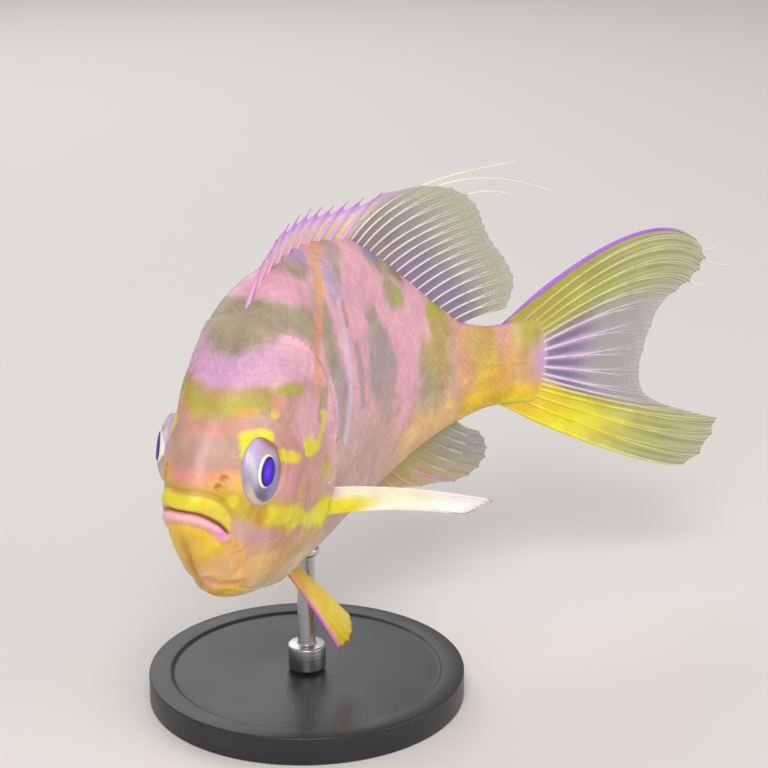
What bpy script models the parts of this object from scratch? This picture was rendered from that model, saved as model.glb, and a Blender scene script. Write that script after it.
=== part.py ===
"""Blotched swallowtail anthias, a life-size display model on a plain stand.

The fish swims towards -X with its tail swung to its left, and +Z is up. The origin is the middle of
the underside of the stand. Places on the fish are given as (s, y, z) in standard lengths: s runs from
the snout (0) to the base of the tail fin (1), y is across (left side negative) and z is up from the axis.
"""

import math

import bmesh
import bpy
import numpy as np
from mathutils import Matrix, Vector

# Driving dimensions, in metres
STANDARD_LENGTH = 0.090
AXIS_HEIGHT = 0.0455
GAP = 0.0003
BASE_RADIUS = 0.025
BASE_HEIGHT = 0.0045
BASE_BEVEL = 0.0006
ROD_RADIUS = 0.0014
EYE_RADIUS = 0.00435
EYE_HALF_DEPTH = 0.0018
MEMBRANE = 0.00026
RAY = 0.00046
SPINE = 0.00055
FIN_TIP = 0.00012

# The turn of the body axis, seen from above
HEAD_HEADING = math.radians(20.0)
TAIL_HEADING = math.radians(-20.0)
TURN_START = 0.302
TURN_END = 0.948
STAND_S = 0.45

# Profiles of the body along s, in standard lengths
BACK = (
    (0.0, -0.002), (0.003, 0.014), (0.01, 0.036), (0.022, 0.060), (0.06, 0.106), (0.115, 0.157),
    (0.167, 0.203), (0.229, 0.251), (0.323, 0.296), (0.4375, 0.3125), (0.573, 0.296), (0.65, 0.256),
    (0.719, 0.203), (0.8125, 0.124), (0.854, 0.094), (0.917, 0.079), (1.0, 0.083),
)
BELLY = (
    (0.0, -0.002), (0.003, -0.032), (0.01, -0.064), (0.022, -0.094), (0.045, -0.130), (0.075, -0.163),
    (0.115, -0.188), (0.167, -0.208), (0.25, -0.223), (0.35, -0.230), (0.45, -0.224), (0.573, -0.197),
    (0.66, -0.168), (0.75, -0.128), (0.844, -0.093), (0.917, -0.077), (1.0, -0.082),
)
HALF_WIDTH = (
    (0.0, 0.0), (0.003, 0.020), (0.01, 0.033), (0.022, 0.044), (0.05, 0.058), (0.1, 0.078),
    (0.167, 0.101), (0.25, 0.110), (0.36, 0.109), (0.46, 0.102), (0.573, 0.087), (0.719, 0.060),
    (0.8125, 0.042), (0.9, 0.029), (1.0, 0.017),
)
WIDEST_HEIGHT = (
    (0.0, -0.002), (0.03, -0.006), (0.1, 0.006), (0.2, 0.004), (0.35, 0.010), (0.5, 0.025),
    (0.7, 0.025), (0.85, 0.002), (1.0, 0.0),
)

# Cuts between the nodes
GILL_EDGE = (
    (0.0, 0.213), (0.14, 0.232), (0.28, 0.290), (0.42, 0.336), (0.55, 0.344), (0.66, 0.326),
    (0.8, 0.284), (1.0, 0.262),
)
GILL_LIFT = 0.0005
CUT_CENTRE = 0.325
TAIL_CUT = 0.864

# The head
MOUTH_HEIGHT = -0.002
MOUTH_SLOPE = 0.84
MOUTH_CORNER = 0.080
SLIT_DEPTH = 0.00075
LIP_OFFSETS = (0.00035, 0.0010, 0.0017, 0.0025)
JAW_BONE = ((0.040, -0.010), (0.108, -0.094))
EYE_PLACE = (0.119, 0.036)
EYE_RISE = 0.0012
EYE_FORWARD = math.radians(6.0)
EYE_UP = math.radians(4.0)
NOSTRIL_FORWARD = math.radians(35.0)
NOSTRILS = ((0.034, 0.030, 0.00040), (0.044, 0.040, 0.00048))

# Grid counts
HALF_COLUMNS = 28
SLIT_COLUMN = 16
HEAD_ROWS = 27
TORSO_ROWS = 18
TAIL_ROWS = 6
FIN_ROWS = 7

# Median fins, (s, z) in standard lengths
SPINE_COUNT = 10
SPINE_ROOTS = (0.236, 0.560)
SPINE_TIPS = (
    (0.304, 0.318), (0.352, 0.341), (0.399, 0.356), (0.440, 0.362), (0.480, 0.363), (0.515, 0.359),
    (0.550, 0.354), (0.589, 0.354), (0.628, 0.354), (0.672, 0.357),
)
SOFT_COUNT = 17
SOFT_ROOTS = (0.586, 0.846)
SOFT_TIP_S = ((0.0, 0.767), (0.12, 0.830), (0.25, 0.885), (0.4, 0.902), (0.55, 0.920), (0.7, 0.947),
              (0.85, 0.966), (1.0, 0.950))
SOFT_TIP_Z = ((0.0, 0.359), (0.12, 0.348), (0.25, 0.312), (0.4, 0.276), (0.55, 0.238), (0.7, 0.202),
              (0.85, 0.155), (1.0, 0.108))
FILAMENTS = {1: (0.9625, 0.382), 2: (1.041, 0.322), 4: (0.990, 0.292)}
ANAL_SPINE_ROOTS = (0.642, 0.682)
ANAL_SPINE_TIPS = ((0.677, -0.191), (0.717, -0.200), (0.767, -0.208))
ANAL_RAY_ROOTS = (0.702, 0.830)
ANAL_RAY_TIPS = ((0.845, -0.2135), (0.876, -0.207), (0.897, -0.194), (0.911, -0.176), (0.914, -0.158),
                 (0.908, -0.139), (0.894, -0.122))
CAUDAL_COUNT = 17
CAUDAL_TIP_S = ((-1.0, 1.440), (-0.85, 1.415), (-0.65, 1.355), (-0.45, 1.275), (-0.25, 1.222),
                (0.0, 1.210), (0.2, 1.232), (0.4, 1.300), (0.6, 1.372), (0.8, 1.425), (1.0, 1.454))
CAUDAL_TIP_Z = ((-1.0, -0.196), (-0.85, -0.178), (-0.65, -0.158), (-0.45, -0.138), (-0.25, -0.096),
                (0.0, -0.035), (0.2, 0.026), (0.4, 0.074), (0.6, 0.098), (0.8, 0.112), (1.0, 0.130))
CAUDAL_BULGE_UP = 0.205
CAUDAL_BULGE_DOWN = 0.225

# Paired fins, (s, y, z) in standard lengths; the left side has negative y
PECTORAL_COUNT = 17
PECTORAL_ROOT = ((0.352, -0.066), (0.346, -0.118))
LEFT_PECTORAL_TIPS = ((0.432, -0.300, -0.070), (0.458, -0.352, -0.083), (0.437, -0.346, -0.093),
                      (0.413, -0.328, -0.101), (0.390, -0.296, -0.108))
RIGHT_PECTORAL_TIPS = ((0.588, 0.148, -0.048), (0.618, 0.158, -0.085), (0.600, 0.162, -0.125),
                       (0.560, 0.158, -0.158), (0.505, 0.148, -0.172))
PELVIC_COUNT = 6
PELVIC_ROOT = ((0.306, 0.032), (0.350, 0.016))
LEFT_PELVIC_TIPS = ((0.462, -0.068, -0.408), (0.498, -0.066, -0.404), (0.505, -0.055, -0.385),
                    (0.495, -0.045, -0.362))
RIGHT_PELVIC_TIPS = ((0.520, 0.082, -0.300), (0.548, 0.078, -0.284), (0.545, 0.072, -0.268),
                     (0.525, 0.066, -0.256))


def through(points, x):
    """Value at x of the smooth curve through the points, which never swings past them."""
    px, py = np.array(points, dtype=float).T
    step = np.diff(px)
    rise = np.diff(py) / step
    slope = np.concatenate([rise[:1], np.zeros(len(px) - 2), rise[-1:]])
    for k in range(1, len(px) - 1):
        if rise[k - 1] * rise[k] > 0.0:
            before = 2.0 * step[k] + step[k - 1]
            after = step[k] + 2.0 * step[k - 1]
            slope[k] = (before + after) / (before / rise[k - 1] + after / rise[k])
    x = np.clip(np.asarray(x, dtype=float), px[0], px[-1])
    k = np.clip(np.searchsorted(px, x, side="right") - 1, 0, len(px) - 2)
    t = (x - px[k]) / step[k]
    start = (1.0 + 2.0 * t) * (1.0 - t) ** 2 * py[k] + t * (1.0 - t) ** 2 * step[k] * slope[k]
    end = t * t * (3.0 - 2.0 * t) * py[k + 1] + t * t * (t - 1.0) * step[k] * slope[k + 1]
    return start + end


def ease(value, low, high):
    """0 below low, 1 above high, and a smooth step between."""
    t = np.clip((np.asarray(value, dtype=float) - low) / (high - low), 0.0, 1.0)
    return t * t * (3.0 - 2.0 * t)


def profile(points, s):
    """A body profile at s, rounded at the snout because it is drawn over the root of s."""
    return through([(math.sqrt(a), b) for a, b in points], np.sqrt(np.clip(s, 0.0, 1.0)))


def heading(s):
    """Direction of the body axis at s, seen from above."""
    return HEAD_HEADING + (TAIL_HEADING - HEAD_HEADING) * ease(s, TURN_START, TURN_END)


AXIS_S = np.linspace(0.0, 1.6, 801)


def axis_points():
    """The body axis seen from above, by adding up short steps along its heading."""
    turn = heading(AXIS_S)
    step = AXIS_S[1] - AXIS_S[0]
    path = []
    for component in (np.cos(turn), np.sin(turn)):
        middle = 0.5 * (component[1:] + component[:-1]) * step
        path.append(np.concatenate([[0.0], np.cumsum(middle)]))
    return path


AXIS_X, AXIS_Y = axis_points()


def place(s, y, z):
    """World position in metres of a place on the fish."""
    s, y, z = np.broadcast_arrays(*(np.asarray(v, dtype=float) for v in (s, y, z)))
    turn = heading(s)
    x = np.interp(s, AXIS_S, AXIS_X) - np.interp(STAND_S, AXIS_S, AXIS_X)
    across = np.interp(s, AXIS_S, AXIS_Y) - np.interp(STAND_S, AXIS_S, AXIS_Y)
    return np.stack([
        STANDARD_LENGTH * (x - np.sin(turn) * y),
        STANDARD_LENGTH * (across + np.cos(turn) * y),
        AXIS_HEIGHT + STANDARD_LENGTH * z,
    ], axis=-1)


def mouth_height(s):
    """Height of the mouth line, which slants down from the snout to the corner."""
    return MOUTH_HEIGHT - MOUTH_SLOPE * np.minimum(s, MOUTH_CORNER)


def section_angle(s, q):
    """Angle round the section for column q (0 top, 1 bottom), with columns along the lips."""
    middle, low, high = profile(WIDEST_HEIGHT, s), profile(BELLY, s), profile(BACK, s)
    drop = np.clip((middle - mouth_height(s)) / np.maximum(middle - low, 1e-6), 0.0, 0.9)
    slit = math.pi - np.arccos(drop)
    above_scale = np.maximum((high - middle) * STANDARD_LENGTH, 1e-5)
    below_scale = np.maximum((middle - low) * STANDARD_LENGTH, 1e-5)
    index = q * HALF_COLUMNS
    lips = len(LIP_OFFSETS)
    angle = np.zeros_like(index)
    for side, scale, room, count in (
        (-1.0, above_scale, slit, SLIT_COLUMN),
        (1.0, below_scale, math.pi - slit, HALF_COLUMNS - SLIT_COLUMN),
    ):
        offset = np.minimum(np.array(LIP_OFFSETS)[:, None] / scale.reshape(1, -1),
                            np.linspace(0.1, 0.6, lips)[:, None] * room.reshape(1, -1))
        steps = np.abs(index - SLIT_COLUMN).reshape(-1)
        knots = np.concatenate([np.zeros((1, offset.shape[1])), offset, room.reshape(1, -1)])
        stops = np.concatenate([np.arange(lips + 1), [count]])
        value = np.empty(len(steps))
        for n, here in enumerate(steps):
            value[n] = np.interp(here, stops, knots[:, n])
        chosen = (index - SLIT_COLUMN) * side >= 0.0
        angle = np.where(chosen, slit + side * value.reshape(index.shape), angle)
    plain = q * math.pi
    return angle + (plain - angle) * ease(s, MOUTH_CORNER, 0.20)


def flesh(s, angle):
    """Half width and height of the skin at s and at an angle from the top of the section."""
    high, low = profile(BACK, s), profile(BELLY, s)
    middle, wide = profile(WIDEST_HEIGHT, s), profile(HALF_WIDTH, s)
    keel = 1.0 + (0.40 * ease(s, 0.26, 0.42) - 0.28 * ease(s, 0.04, 0.15)) * (np.cos(angle) > 0.0)
    jaw = 1.0 + 0.28 * (1.0 - ease(s, 0.06, 0.18)) * (np.cos(angle) < 0.0)
    y = wide * np.abs(np.sin(angle)) ** (keel * jaw)
    z = middle + np.where(np.cos(angle) > 0.0, high - middle, middle - low) * np.cos(angle)
    return y, z


def side_width(s, z):
    """Half width of the plain form at s and height z."""
    high, low = float(profile(BACK, s)), float(profile(BELLY, s))
    middle = float(profile(WIDEST_HEIGHT, s))
    reach = high - middle if z > middle else middle - low
    angle = math.acos(np.clip((z - middle) / reach, -1.0, 1.0))
    y, _ = flesh(np.array(s), np.array(angle))
    return float(y)


def bump(distance, width):
    """A rounded ridge one unit high across its width."""
    return np.exp(-((distance / width) ** 2))


def relief(s, y, z):
    """How far the skin of the head stands out from the plain form, in metres."""
    slant = np.sqrt(1.0 + (MOUTH_SLOPE * ease(s, 0.0, 0.03)) ** 2)
    above = (z - mouth_height(s)) / slant
    mouth = 1.0 - ease(s, MOUTH_CORNER - 0.030, MOUTH_CORNER + 0.008)
    lips = 0.00055 * bump(above - 0.0115, 0.0085) + 0.00055 * bump(above + 0.0115, 0.0085)
    slit = -SLIT_DEPTH * bump(above, 0.0042)
    crease = -0.00025 * bump(above - 0.027, 0.004)
    (first_s, first_z), (last_s, last_z) = JAW_BONE
    along = np.clip((s - first_s) / (last_s - first_s), 0.0, 1.0)
    strap_width = 0.006 + 0.010 * along
    off = np.hypot(s - first_s - (last_s - first_s) * along, z - first_z - (last_z - first_z) * along)
    jaw_bone = 0.00045 * (1.0 - ease(off, 0.7 * strap_width, 1.5 * strap_width)) * ease(along, 0.1, 0.4)
    chin = -0.0005 * bump(y, 0.007) * ease(s, 0.006, 0.02) * (1.0 - ease(s, 0.06, 0.085))
    chin = chin * ease(-above, 0.02, 0.035)
    round_eye = np.hypot(s - EYE_PLACE[0], z - EYE_PLACE[1])
    rim = 0.0003 * bump(round_eye - 0.058, 0.010)
    cheek_edge = 0.178 + 0.045 * np.cos((z + 0.03) * 9.0)
    cheek = 0.00035 * (1.0 - ease(s - cheek_edge, -0.004, 0.008)) * ease(s, 0.13, 0.17)
    cheek = cheek * (1.0 - ease(z, 0.06, 0.10)) * ease(z, -0.19, -0.15)
    return mouth * (lips + slit + crease) + jaw_bone + chin + rim + cheek


def orbit(s, y, z):
    """Half width of the skin, drawn round the eye towards the flat that the eye's rim lies in."""
    away_s, away_z = s - EYE_PLACE[0], z - EYE_PLACE[1]
    middle = side_width(*EYE_PLACE)
    flat = middle + away_s * math.tan(EYE_FORWARD) - away_z * math.tan(EYE_UP)
    return y + (flat - y) * 0.3 * (1.0 - ease(np.hypot(away_s, away_z), 0.050, 0.085))


def ring_columns():
    """Column number as a share from top (0) to bottom (1), and the side, once round the body."""
    down = np.arange(HALF_COLUMNS + 1) / HALF_COLUMNS
    share = np.concatenate([down, down[-2:0:-1]])
    side = np.concatenate([-np.ones(HALF_COLUMNS + 1), np.ones(HALF_COLUMNS - 1)])
    return share, side


def body_points(s, raised):
    """World positions of the skin over a grid of s, one row for each ring."""
    share, side = ring_columns()
    share = np.broadcast_to(share, s.shape)
    y, z = flesh(s, section_angle(s, share))
    if raised:
        y = orbit(s, y, z)
    grid = np.stack([s, side * y, z], axis=-1)
    if raised:
        across = np.roll(grid, -1, axis=1) - np.roll(grid, 1, axis=1)
        along = np.gradient(grid, axis=0)
        normal = np.cross(across, along)
        normal /= np.maximum(np.linalg.norm(normal, axis=-1, keepdims=True), 1e-12)
        height = relief(grid[..., 0], grid[..., 1], grid[..., 2]) / STANDARD_LENGTH
        gill = GILL_LIFT / STANDARD_LENGTH * ease(np.linspace(0.0, 1.0, len(s)), 0.88, 1.0)[:, None]
        grid = grid + normal * (height + gill * ease(share, 0.1, 0.25))[..., None]
    return place(grid[..., 0], grid[..., 1], grid[..., 2])


def clear_scene():
    """Empty the scene of objects."""
    for thing in list(bpy.data.objects):
        bpy.data.objects.remove(thing, do_unlink=True)


def collection(name, shown):
    """A new collection in the scene."""
    group = bpy.data.collections.new(name)
    bpy.context.scene.collection.children.link(group)
    group.hide_render = not shown
    return group


def finish(name, colour, roughness, metallic=0.0):
    """A plain finish of one colour."""
    material = bpy.data.materials.new(name)
    material.use_nodes = True
    shader = material.node_tree.nodes["Principled BSDF"]
    shader.inputs["Base Color"].default_value = (*colour, 1.0)
    shader.inputs["Roughness"].default_value = roughness
    shader.inputs["Metallic"].default_value = metallic
    return material


def mesh_object(name, points, faces, group, material):
    """An object from points and faces, with its faces turned outwards."""
    mesh = bpy.data.meshes.new(name)
    mesh.from_pydata([tuple(p) for p in points], [], faces)
    shape = bmesh.new()
    shape.from_mesh(mesh)
    bmesh.ops.recalc_face_normals(shape, faces=shape.faces)
    if shape.calc_volume(signed=True) < 0.0:
        bmesh.ops.reverse_faces(shape, faces=shape.faces)
    shape.to_mesh(mesh)
    shape.free()
    mesh.shade_smooth()
    mesh.set_sharp_from_angle(angle=math.radians(50.0))
    thing = bpy.data.objects.new(name, mesh)
    thing.data.materials.append(material)
    group.objects.link(thing)
    return thing


def closed_loft(name, rings, front, back, group, material):
    """A closed skin over rings of equal count, with a fan to a point at each end."""
    rows, columns = rings.shape[:2]
    points = [*rings.reshape(-1, 3), front, back]
    faces = []
    for i in range(rows - 1):
        for j in range(columns):
            n = (j + 1) % columns
            faces.append((i * columns + j, i * columns + n, (i + 1) * columns + n, (i + 1) * columns + j))
    for j in range(columns):
        n = (j + 1) % columns
        last = (rows - 1) * columns
        faces.append((rows * columns, n, j))
        faces.append((rows * columns + 1, last + j, last + n))
    return mesh_object(name, points, faces, group, material)


def gill_edge(share):
    """s of the rear edge of the head at a column."""
    return through(GILL_EDGE, share)


def build_head(group, cutters, material):
    """The head, from the snout to the edge of the gill covers, with eye sockets and nostrils."""
    share, _ = ring_columns()
    rows = (np.arange(1, HEAD_ROWS + 1) / HEAD_ROWS) ** 1.75
    s = rows[:, None] * gill_edge(share)[None, :]
    rings = body_points(s, True)
    snout = place(SLIT_DEPTH / STANDARD_LENGTH, 0.0, MOUTH_HEIGHT)
    head = closed_loft("head", rings, snout, place(CUT_CENTRE, 0.0, 0.02),
                       group, material)
    for side in (-1.0, 1.0):
        cut(head, socket_cutter(side, cutters))
        for number, (at, height, radius) in enumerate(NOSTRILS):
            cut(head, nostril_cutter(side, number, at, height, radius, cutters))
    return head


def build_torso(group, material):
    """The trunk, from the gill covers to the narrow stalk of the tail."""
    share, _ = ring_columns()
    gap = 1.35 * GAP / STANDARD_LENGTH
    first = gill_edge(share) + gap
    rows = np.linspace(0.0, 1.0, TORSO_ROWS)
    s = first[None, :] + rows[:, None] * (TAIL_CUT - first)[None, :]
    rings = body_points(s, False)
    return closed_loft("torso", rings, place(CUT_CENTRE + gap, 0.0, 0.02), place(TAIL_CUT, 0.0, 0.0),
                       group, material)


def build_tail(group, material):
    """The narrow stalk that carries the tail fin."""
    share, _ = ring_columns()
    first = TAIL_CUT + GAP / STANDARD_LENGTH
    rows = np.linspace(first, 1.0, TAIL_ROWS)
    rings = body_points(np.repeat(rows[:, None], len(share), axis=1), False)
    return closed_loft("tail", rings, place(first, 0.0, 0.0), place(1.0, 0.0, 0.0), group, material)


def flank(s, z, side, lift):
    """World position of the skin at s and height z, lifted off it by a small distance."""
    return place(s, side * (side_width(s, z) + lift / STANDARD_LENGTH), z)


def facing(s, z, side, forward, up, lift):
    """Placement on the skin whose local Z looks out of the head, turned forward and up."""
    turn = float(heading(s))
    ahead = Vector((-math.cos(turn), -math.sin(turn), 0.0))
    outward = Vector((-math.sin(turn), math.cos(turn), 0.0)) * side
    look = outward * math.cos(forward) + ahead * math.sin(forward)
    look = look * math.cos(up) + Vector((0.0, 0.0, math.sin(up)))
    centre = Vector(flank(s, z, side, 0.0)) + look * lift
    return Matrix.Translation(centre) @ look.to_track_quat("Z", "Y").to_matrix().to_4x4()


def eye_matrix(side):
    """Placement of an eye: its local Z looks out of the head."""
    return facing(*EYE_PLACE, side, EYE_FORWARD, EYE_UP, EYE_RISE - EYE_HALF_DEPTH)


def ball(name, matrix, radii, segments, group, material=None):
    """A ball squeezed to three half axes, with its place in its mesh."""
    shape = bmesh.new()
    bmesh.ops.create_uvsphere(shape, u_segments=segments, v_segments=segments // 2, radius=1.0)
    shape.transform(matrix @ Matrix.Diagonal((*radii, 1.0)))
    mesh = bpy.data.meshes.new(name)
    shape.to_mesh(mesh)
    shape.free()
    mesh.shade_smooth()
    thing = bpy.data.objects.new(name, mesh)
    if material:
        mesh.materials.append(material)
    group.objects.link(thing)
    return thing


def build_eye(side, group, material):
    """One eye, a flattened ball that stands a little out of its socket."""
    name = "eye_left" if side < 0.0 else "eye_right"
    return ball(name, eye_matrix(side), (EYE_RADIUS, EYE_RADIUS, EYE_HALF_DEPTH), 24, group, material)


def as_cutter(thing):
    """Mark an object as a cutter."""
    thing.hide_render = True
    thing.display_type = "WIRE"
    return thing


def socket_cutter(side, group):
    """The hollow of an eye socket, a gap wider than the eye."""
    radii = (EYE_RADIUS + GAP, EYE_RADIUS + GAP, EYE_HALF_DEPTH + GAP)
    name = "socket_left" if side < 0.0 else "socket_right"
    return as_cutter(ball(name, eye_matrix(side), radii, 24, group))


def nostril_cutter(side, number, s, z, radius, group):
    """A small round pit between the eye and the upper lip."""
    name = f"nostril_{'left' if side < 0.0 else 'right'}_{number + 1}"
    shape = bmesh.new()
    bmesh.ops.create_cone(shape, cap_ends=True, segments=10, radius1=0.5 * radius, radius2=1.2 * radius,
                          depth=3.0 * radius)
    shape.transform(facing(s, z, side, NOSTRIL_FORWARD, 0.0, 0.9 * radius))
    mesh = bpy.data.meshes.new(name)
    shape.to_mesh(mesh)
    shape.free()
    thing = bpy.data.objects.new(name, mesh)
    group.objects.link(thing)
    return as_cutter(thing)


def cut(thing, cutter):
    """Take the cutter's shape away from an object."""
    modifier = thing.modifiers.new(cutter.name, "BOOLEAN")
    modifier.operation = "DIFFERENCE"
    modifier.solver = "EXACT"
    modifier.object = cutter


def ray_path(root, guide, tip, rows):
    """Points along a ray from its root to its tip, bent towards its guide point."""
    v = rows[:, None]
    return (1.0 - v) ** 2 * root + 2.0 * v * (1.0 - v) * guide + v * v * tip


def fin_columns(roots, guides, tips, sizes, notches, shoulders):
    """Columns of a fin sheet: each ray, its shoulders and the membrane between two rays.

    Returns the middle points, the half thickness along each column and the column number of each ray.
    """
    rows = np.linspace(0.0, 1.0, FIN_ROWS + 1)
    points, half, ray_columns = [], [], []
    thin = MEMBRANE + (FIN_TIP - MEMBRANE) * rows ** 4
    for k in range(len(roots)):
        if k:
            for share in shoulders:
                near = min(share, 1.0 - share) * 2.0
                reach = rows * (1.0 - notches[k - 1] * near)
                before = ray_path(roots[k - 1], guides[k - 1], tips[k - 1], reach)
                after = ray_path(roots[k], guides[k], tips[k], reach)
                points.append(before + (after - before) * share)
                half.append(thin)
        ray_columns.append(len(points))
        points.append(ray_path(roots[k], guides[k], tips[k], rows))
        half.append(sizes[k] + (FIN_TIP * 1.3 - sizes[k]) * rows ** 1.7)
    return np.array(points), np.array(half), ray_columns


def median_faces(points, half):
    """The two faces of a fin in the middle plane, from its (s, z) columns."""
    lift = half / STANDARD_LENGTH
    return (place(points[..., 0], lift, points[..., 1]), place(points[..., 0], -lift, points[..., 1]))


def sheet_faces(points, half):
    """The two faces of a fin that stands anywhere, from its columns of world points."""
    across = np.gradient(points, axis=0)
    along = np.gradient(points, axis=1)
    normal = np.cross(across, along)
    normal /= np.maximum(np.linalg.norm(normal, axis=-1, keepdims=True), 1e-12)
    return points + normal * half[..., None], points - normal * half[..., None]


def build_fin(name, sides, threads, group, material):
    """A closed fin from its two faces, both split alike, with threads drawn out of some rays.

    threads maps a ray's column to the points of its thread past the fin's edge.
    """
    front, rear = sides
    count, rows = front.shape[:2]
    verts = [*front.reshape(-1, 3), *rear.reshape(-1, 3)]
    flip = count * rows
    top = rows - 1
    faces = []

    def corner(column, row, behind):
        return column * rows + row + (flip if behind else 0)

    def wall(first, second):
        faces.append((corner(*first, False), corner(*second, False),
                      corner(*second, True), corner(*first, True)))

    open_top = {c for column in threads for c in (column - 1, column)}
    for c in range(count - 1):
        for r in range(rows - 1):
            for behind in (False, True):
                quad = [corner(c, r, behind), corner(c + 1, r, behind),
                        corner(c + 1, r + 1, behind), corner(c, r + 1, behind)]
                faces += [(quad[0], quad[1], quad[2]), (quad[0], quad[2], quad[3])]
        wall((c, 0), (c + 1, 0))
        if c not in open_top:
            wall((c, top), (c + 1, top))
    for r in range(rows - 1):
        for c in (0, count - 1):
            wall((c, r), (c, r + 1))
    for column, line in threads.items():
        ring = [corner(column - 1, top, False), corner(column, top, False), corner(column + 1, top, False),
                corner(column + 1, top, True), corner(column, top, True), corner(column - 1, top, True)]
        start = np.array([verts[i] for i in ring])
        shape = start - start.mean(axis=0)
        for step, middle in enumerate(line[:-1]):
            slim = 0.62 - 0.42 * step / len(line)
            fresh = [len(verts) + i for i in range(6)]
            verts += list(middle + shape * slim)
            for i in range(6):
                n = (i + 1) % 6
                faces.append((ring[i], ring[n], fresh[n], fresh[i]))
            ring = fresh
        verts.append(line[-1])
        for i in range(6):
            faces.append((ring[i], ring[(i + 1) % 6], len(verts) - 1))
    return mesh_object(name, verts, faces, group, material)


def median(places):
    """World positions of (s, z) places in the middle plane of the fish."""
    return place(places[..., 0], 0.0, places[..., 1])


def build_dorsal(group, material):
    """The fin of the back: ten spines, then soft rays, three of them drawn out into threads."""
    lift = GAP / STANDARD_LENGTH * 1.2
    spine_s = np.linspace(*SPINE_ROOTS, SPINE_COUNT)
    soft_s = np.linspace(*SOFT_ROOTS, SOFT_COUNT)
    share = np.arange(SOFT_COUNT) / (SOFT_COUNT - 1)
    roots = np.array([(s, float(profile(BACK, s)) + lift) for s in (*spine_s, *soft_s)])
    tips = np.array([*SPINE_TIPS, *zip(through(SOFT_TIP_S, share), through(SOFT_TIP_Z, share))])
    bend = np.array([(0.5, 0.62)] * SPINE_COUNT + [(0.38, 0.72)] * SOFT_COUNT)
    guides = roots + (tips - roots) * bend
    sizes = [SPINE] * SPINE_COUNT + [RAY] * SOFT_COUNT
    notches = [0.30] * (SPINE_COUNT - 1) + [0.10] * SOFT_COUNT
    points, half, rays = fin_columns(roots, guides, tips, sizes, notches, (0.24, 0.76))
    threads = {}
    for number, end in FILAMENTS.items():
        k = SPINE_COUNT + number - 1
        onward = (tips[k] - guides[k]) / np.linalg.norm(tips[k] - guides[k])
        reach = np.array(end) - tips[k]
        guide = tips[k] + onward * np.linalg.norm(reach) * 0.45
        threads[rays[k]] = median(ray_path(tips[k], guide, np.array(end), np.array([0.04, 0.3, 0.6, 1.0])))
    return build_fin("dorsal_fin", median_faces(points, half), threads, group, material)


def build_anal(group, material):
    """The fin under the tail: three spines, then seven soft rays, folded back."""
    lift = GAP / STANDARD_LENGTH * 1.2
    spine_s = np.linspace(*ANAL_SPINE_ROOTS, len(ANAL_SPINE_TIPS))
    ray_s = np.linspace(*ANAL_RAY_ROOTS, len(ANAL_RAY_TIPS))
    roots = np.array([(s, float(profile(BELLY, s)) - lift) for s in (*spine_s, *ray_s)])
    tips = np.array([*ANAL_SPINE_TIPS, *ANAL_RAY_TIPS])
    guides = roots + (tips - roots) * np.array([0.42, 0.66])
    sizes = [SPINE] * len(ANAL_SPINE_TIPS) + [RAY] * len(ANAL_RAY_TIPS)
    notches = [0.1] * len(ANAL_SPINE_TIPS) + [0.08] * len(ANAL_RAY_TIPS)
    points, half, _ = fin_columns(roots, guides, tips, sizes, notches, (0.22, 0.78))
    return build_fin("anal_fin", median_faces(points, half), {}, group, material)


def build_caudal(group, material):
    """The forked tail fin in its two lobes, thick where it leaves the stalk of the tail."""
    fan = np.linspace(1.0, -1.0, CAUDAL_COUNT)
    edge = 1.0 + GAP / STANDARD_LENGTH
    roots = np.stack([np.full(CAUDAL_COUNT, edge), 0.0795 * fan], axis=-1)
    tips = np.stack([through(CAUDAL_TIP_S, fan), through(CAUDAL_TIP_Z, fan)], axis=-1)
    guides = roots + (tips - roots) * 0.6
    bulge = np.where(fan > 0.0, CAUDAL_BULGE_UP, CAUDAL_BULGE_DOWN)
    guides[:, 1] += bulge * fan * np.abs(fan) ** 1.3
    points, half, rays = fin_columns(roots, guides, tips, [RAY] * CAUDAL_COUNT, [0.05] * CAUDAL_COUNT,
                                     (0.24, 0.76))
    stalk = 0.82 * STANDARD_LENGTH * float(profile(HALF_WIDTH, 1.0))
    place_in_fan = np.interp(np.arange(len(points)), np.linspace(0, len(points) - 1, 3), (1.0, 0.0, -1.0))
    root_half = stalk * np.sqrt(np.clip(1.0 - place_in_fan ** 2, 0.0, 1.0))
    fade = np.linspace(1.0, 0.0, FIN_ROWS + 1)[None, :] ** 5
    half = half + np.maximum(root_half - RAY, 0.0)[:, None] * fade
    last = rays[CAUDAL_COUNT // 2] + 1
    across = points[last + 1] - points[last]
    across /= np.linalg.norm(across, axis=-1, keepdims=True)
    middle = 0.5 * (points[last] + points[last + 1])
    seam = 0.5 * GAP / STANDARD_LENGTH
    seam_half = 0.5 * (half[last] + half[last + 1])[None]
    upper = np.concatenate([points[:last + 1], (middle - across * seam)[None]])
    lower = np.concatenate([(middle + across * seam)[None], points[last + 1:]])
    upper_half = np.concatenate([half[:last + 1], seam_half])
    lower_half = np.concatenate([seam_half, half[last + 1:]])
    build_fin("caudal_fin_upper", median_faces(upper, upper_half), {}, group, material)
    build_fin("caudal_fin_lower", median_faces(lower, lower_half), {}, group, material)


def spread(knots, count):
    """Points spaced evenly by number along the smooth curve through a few knots."""
    knots = np.asarray(knots, dtype=float)
    at = np.linspace(0.0, 1.0, len(knots))
    want = np.linspace(0.0, 1.0, count)
    return np.stack([through(list(zip(at, knots[:, i])), want) for i in range(knots.shape[1])], axis=-1)


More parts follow.
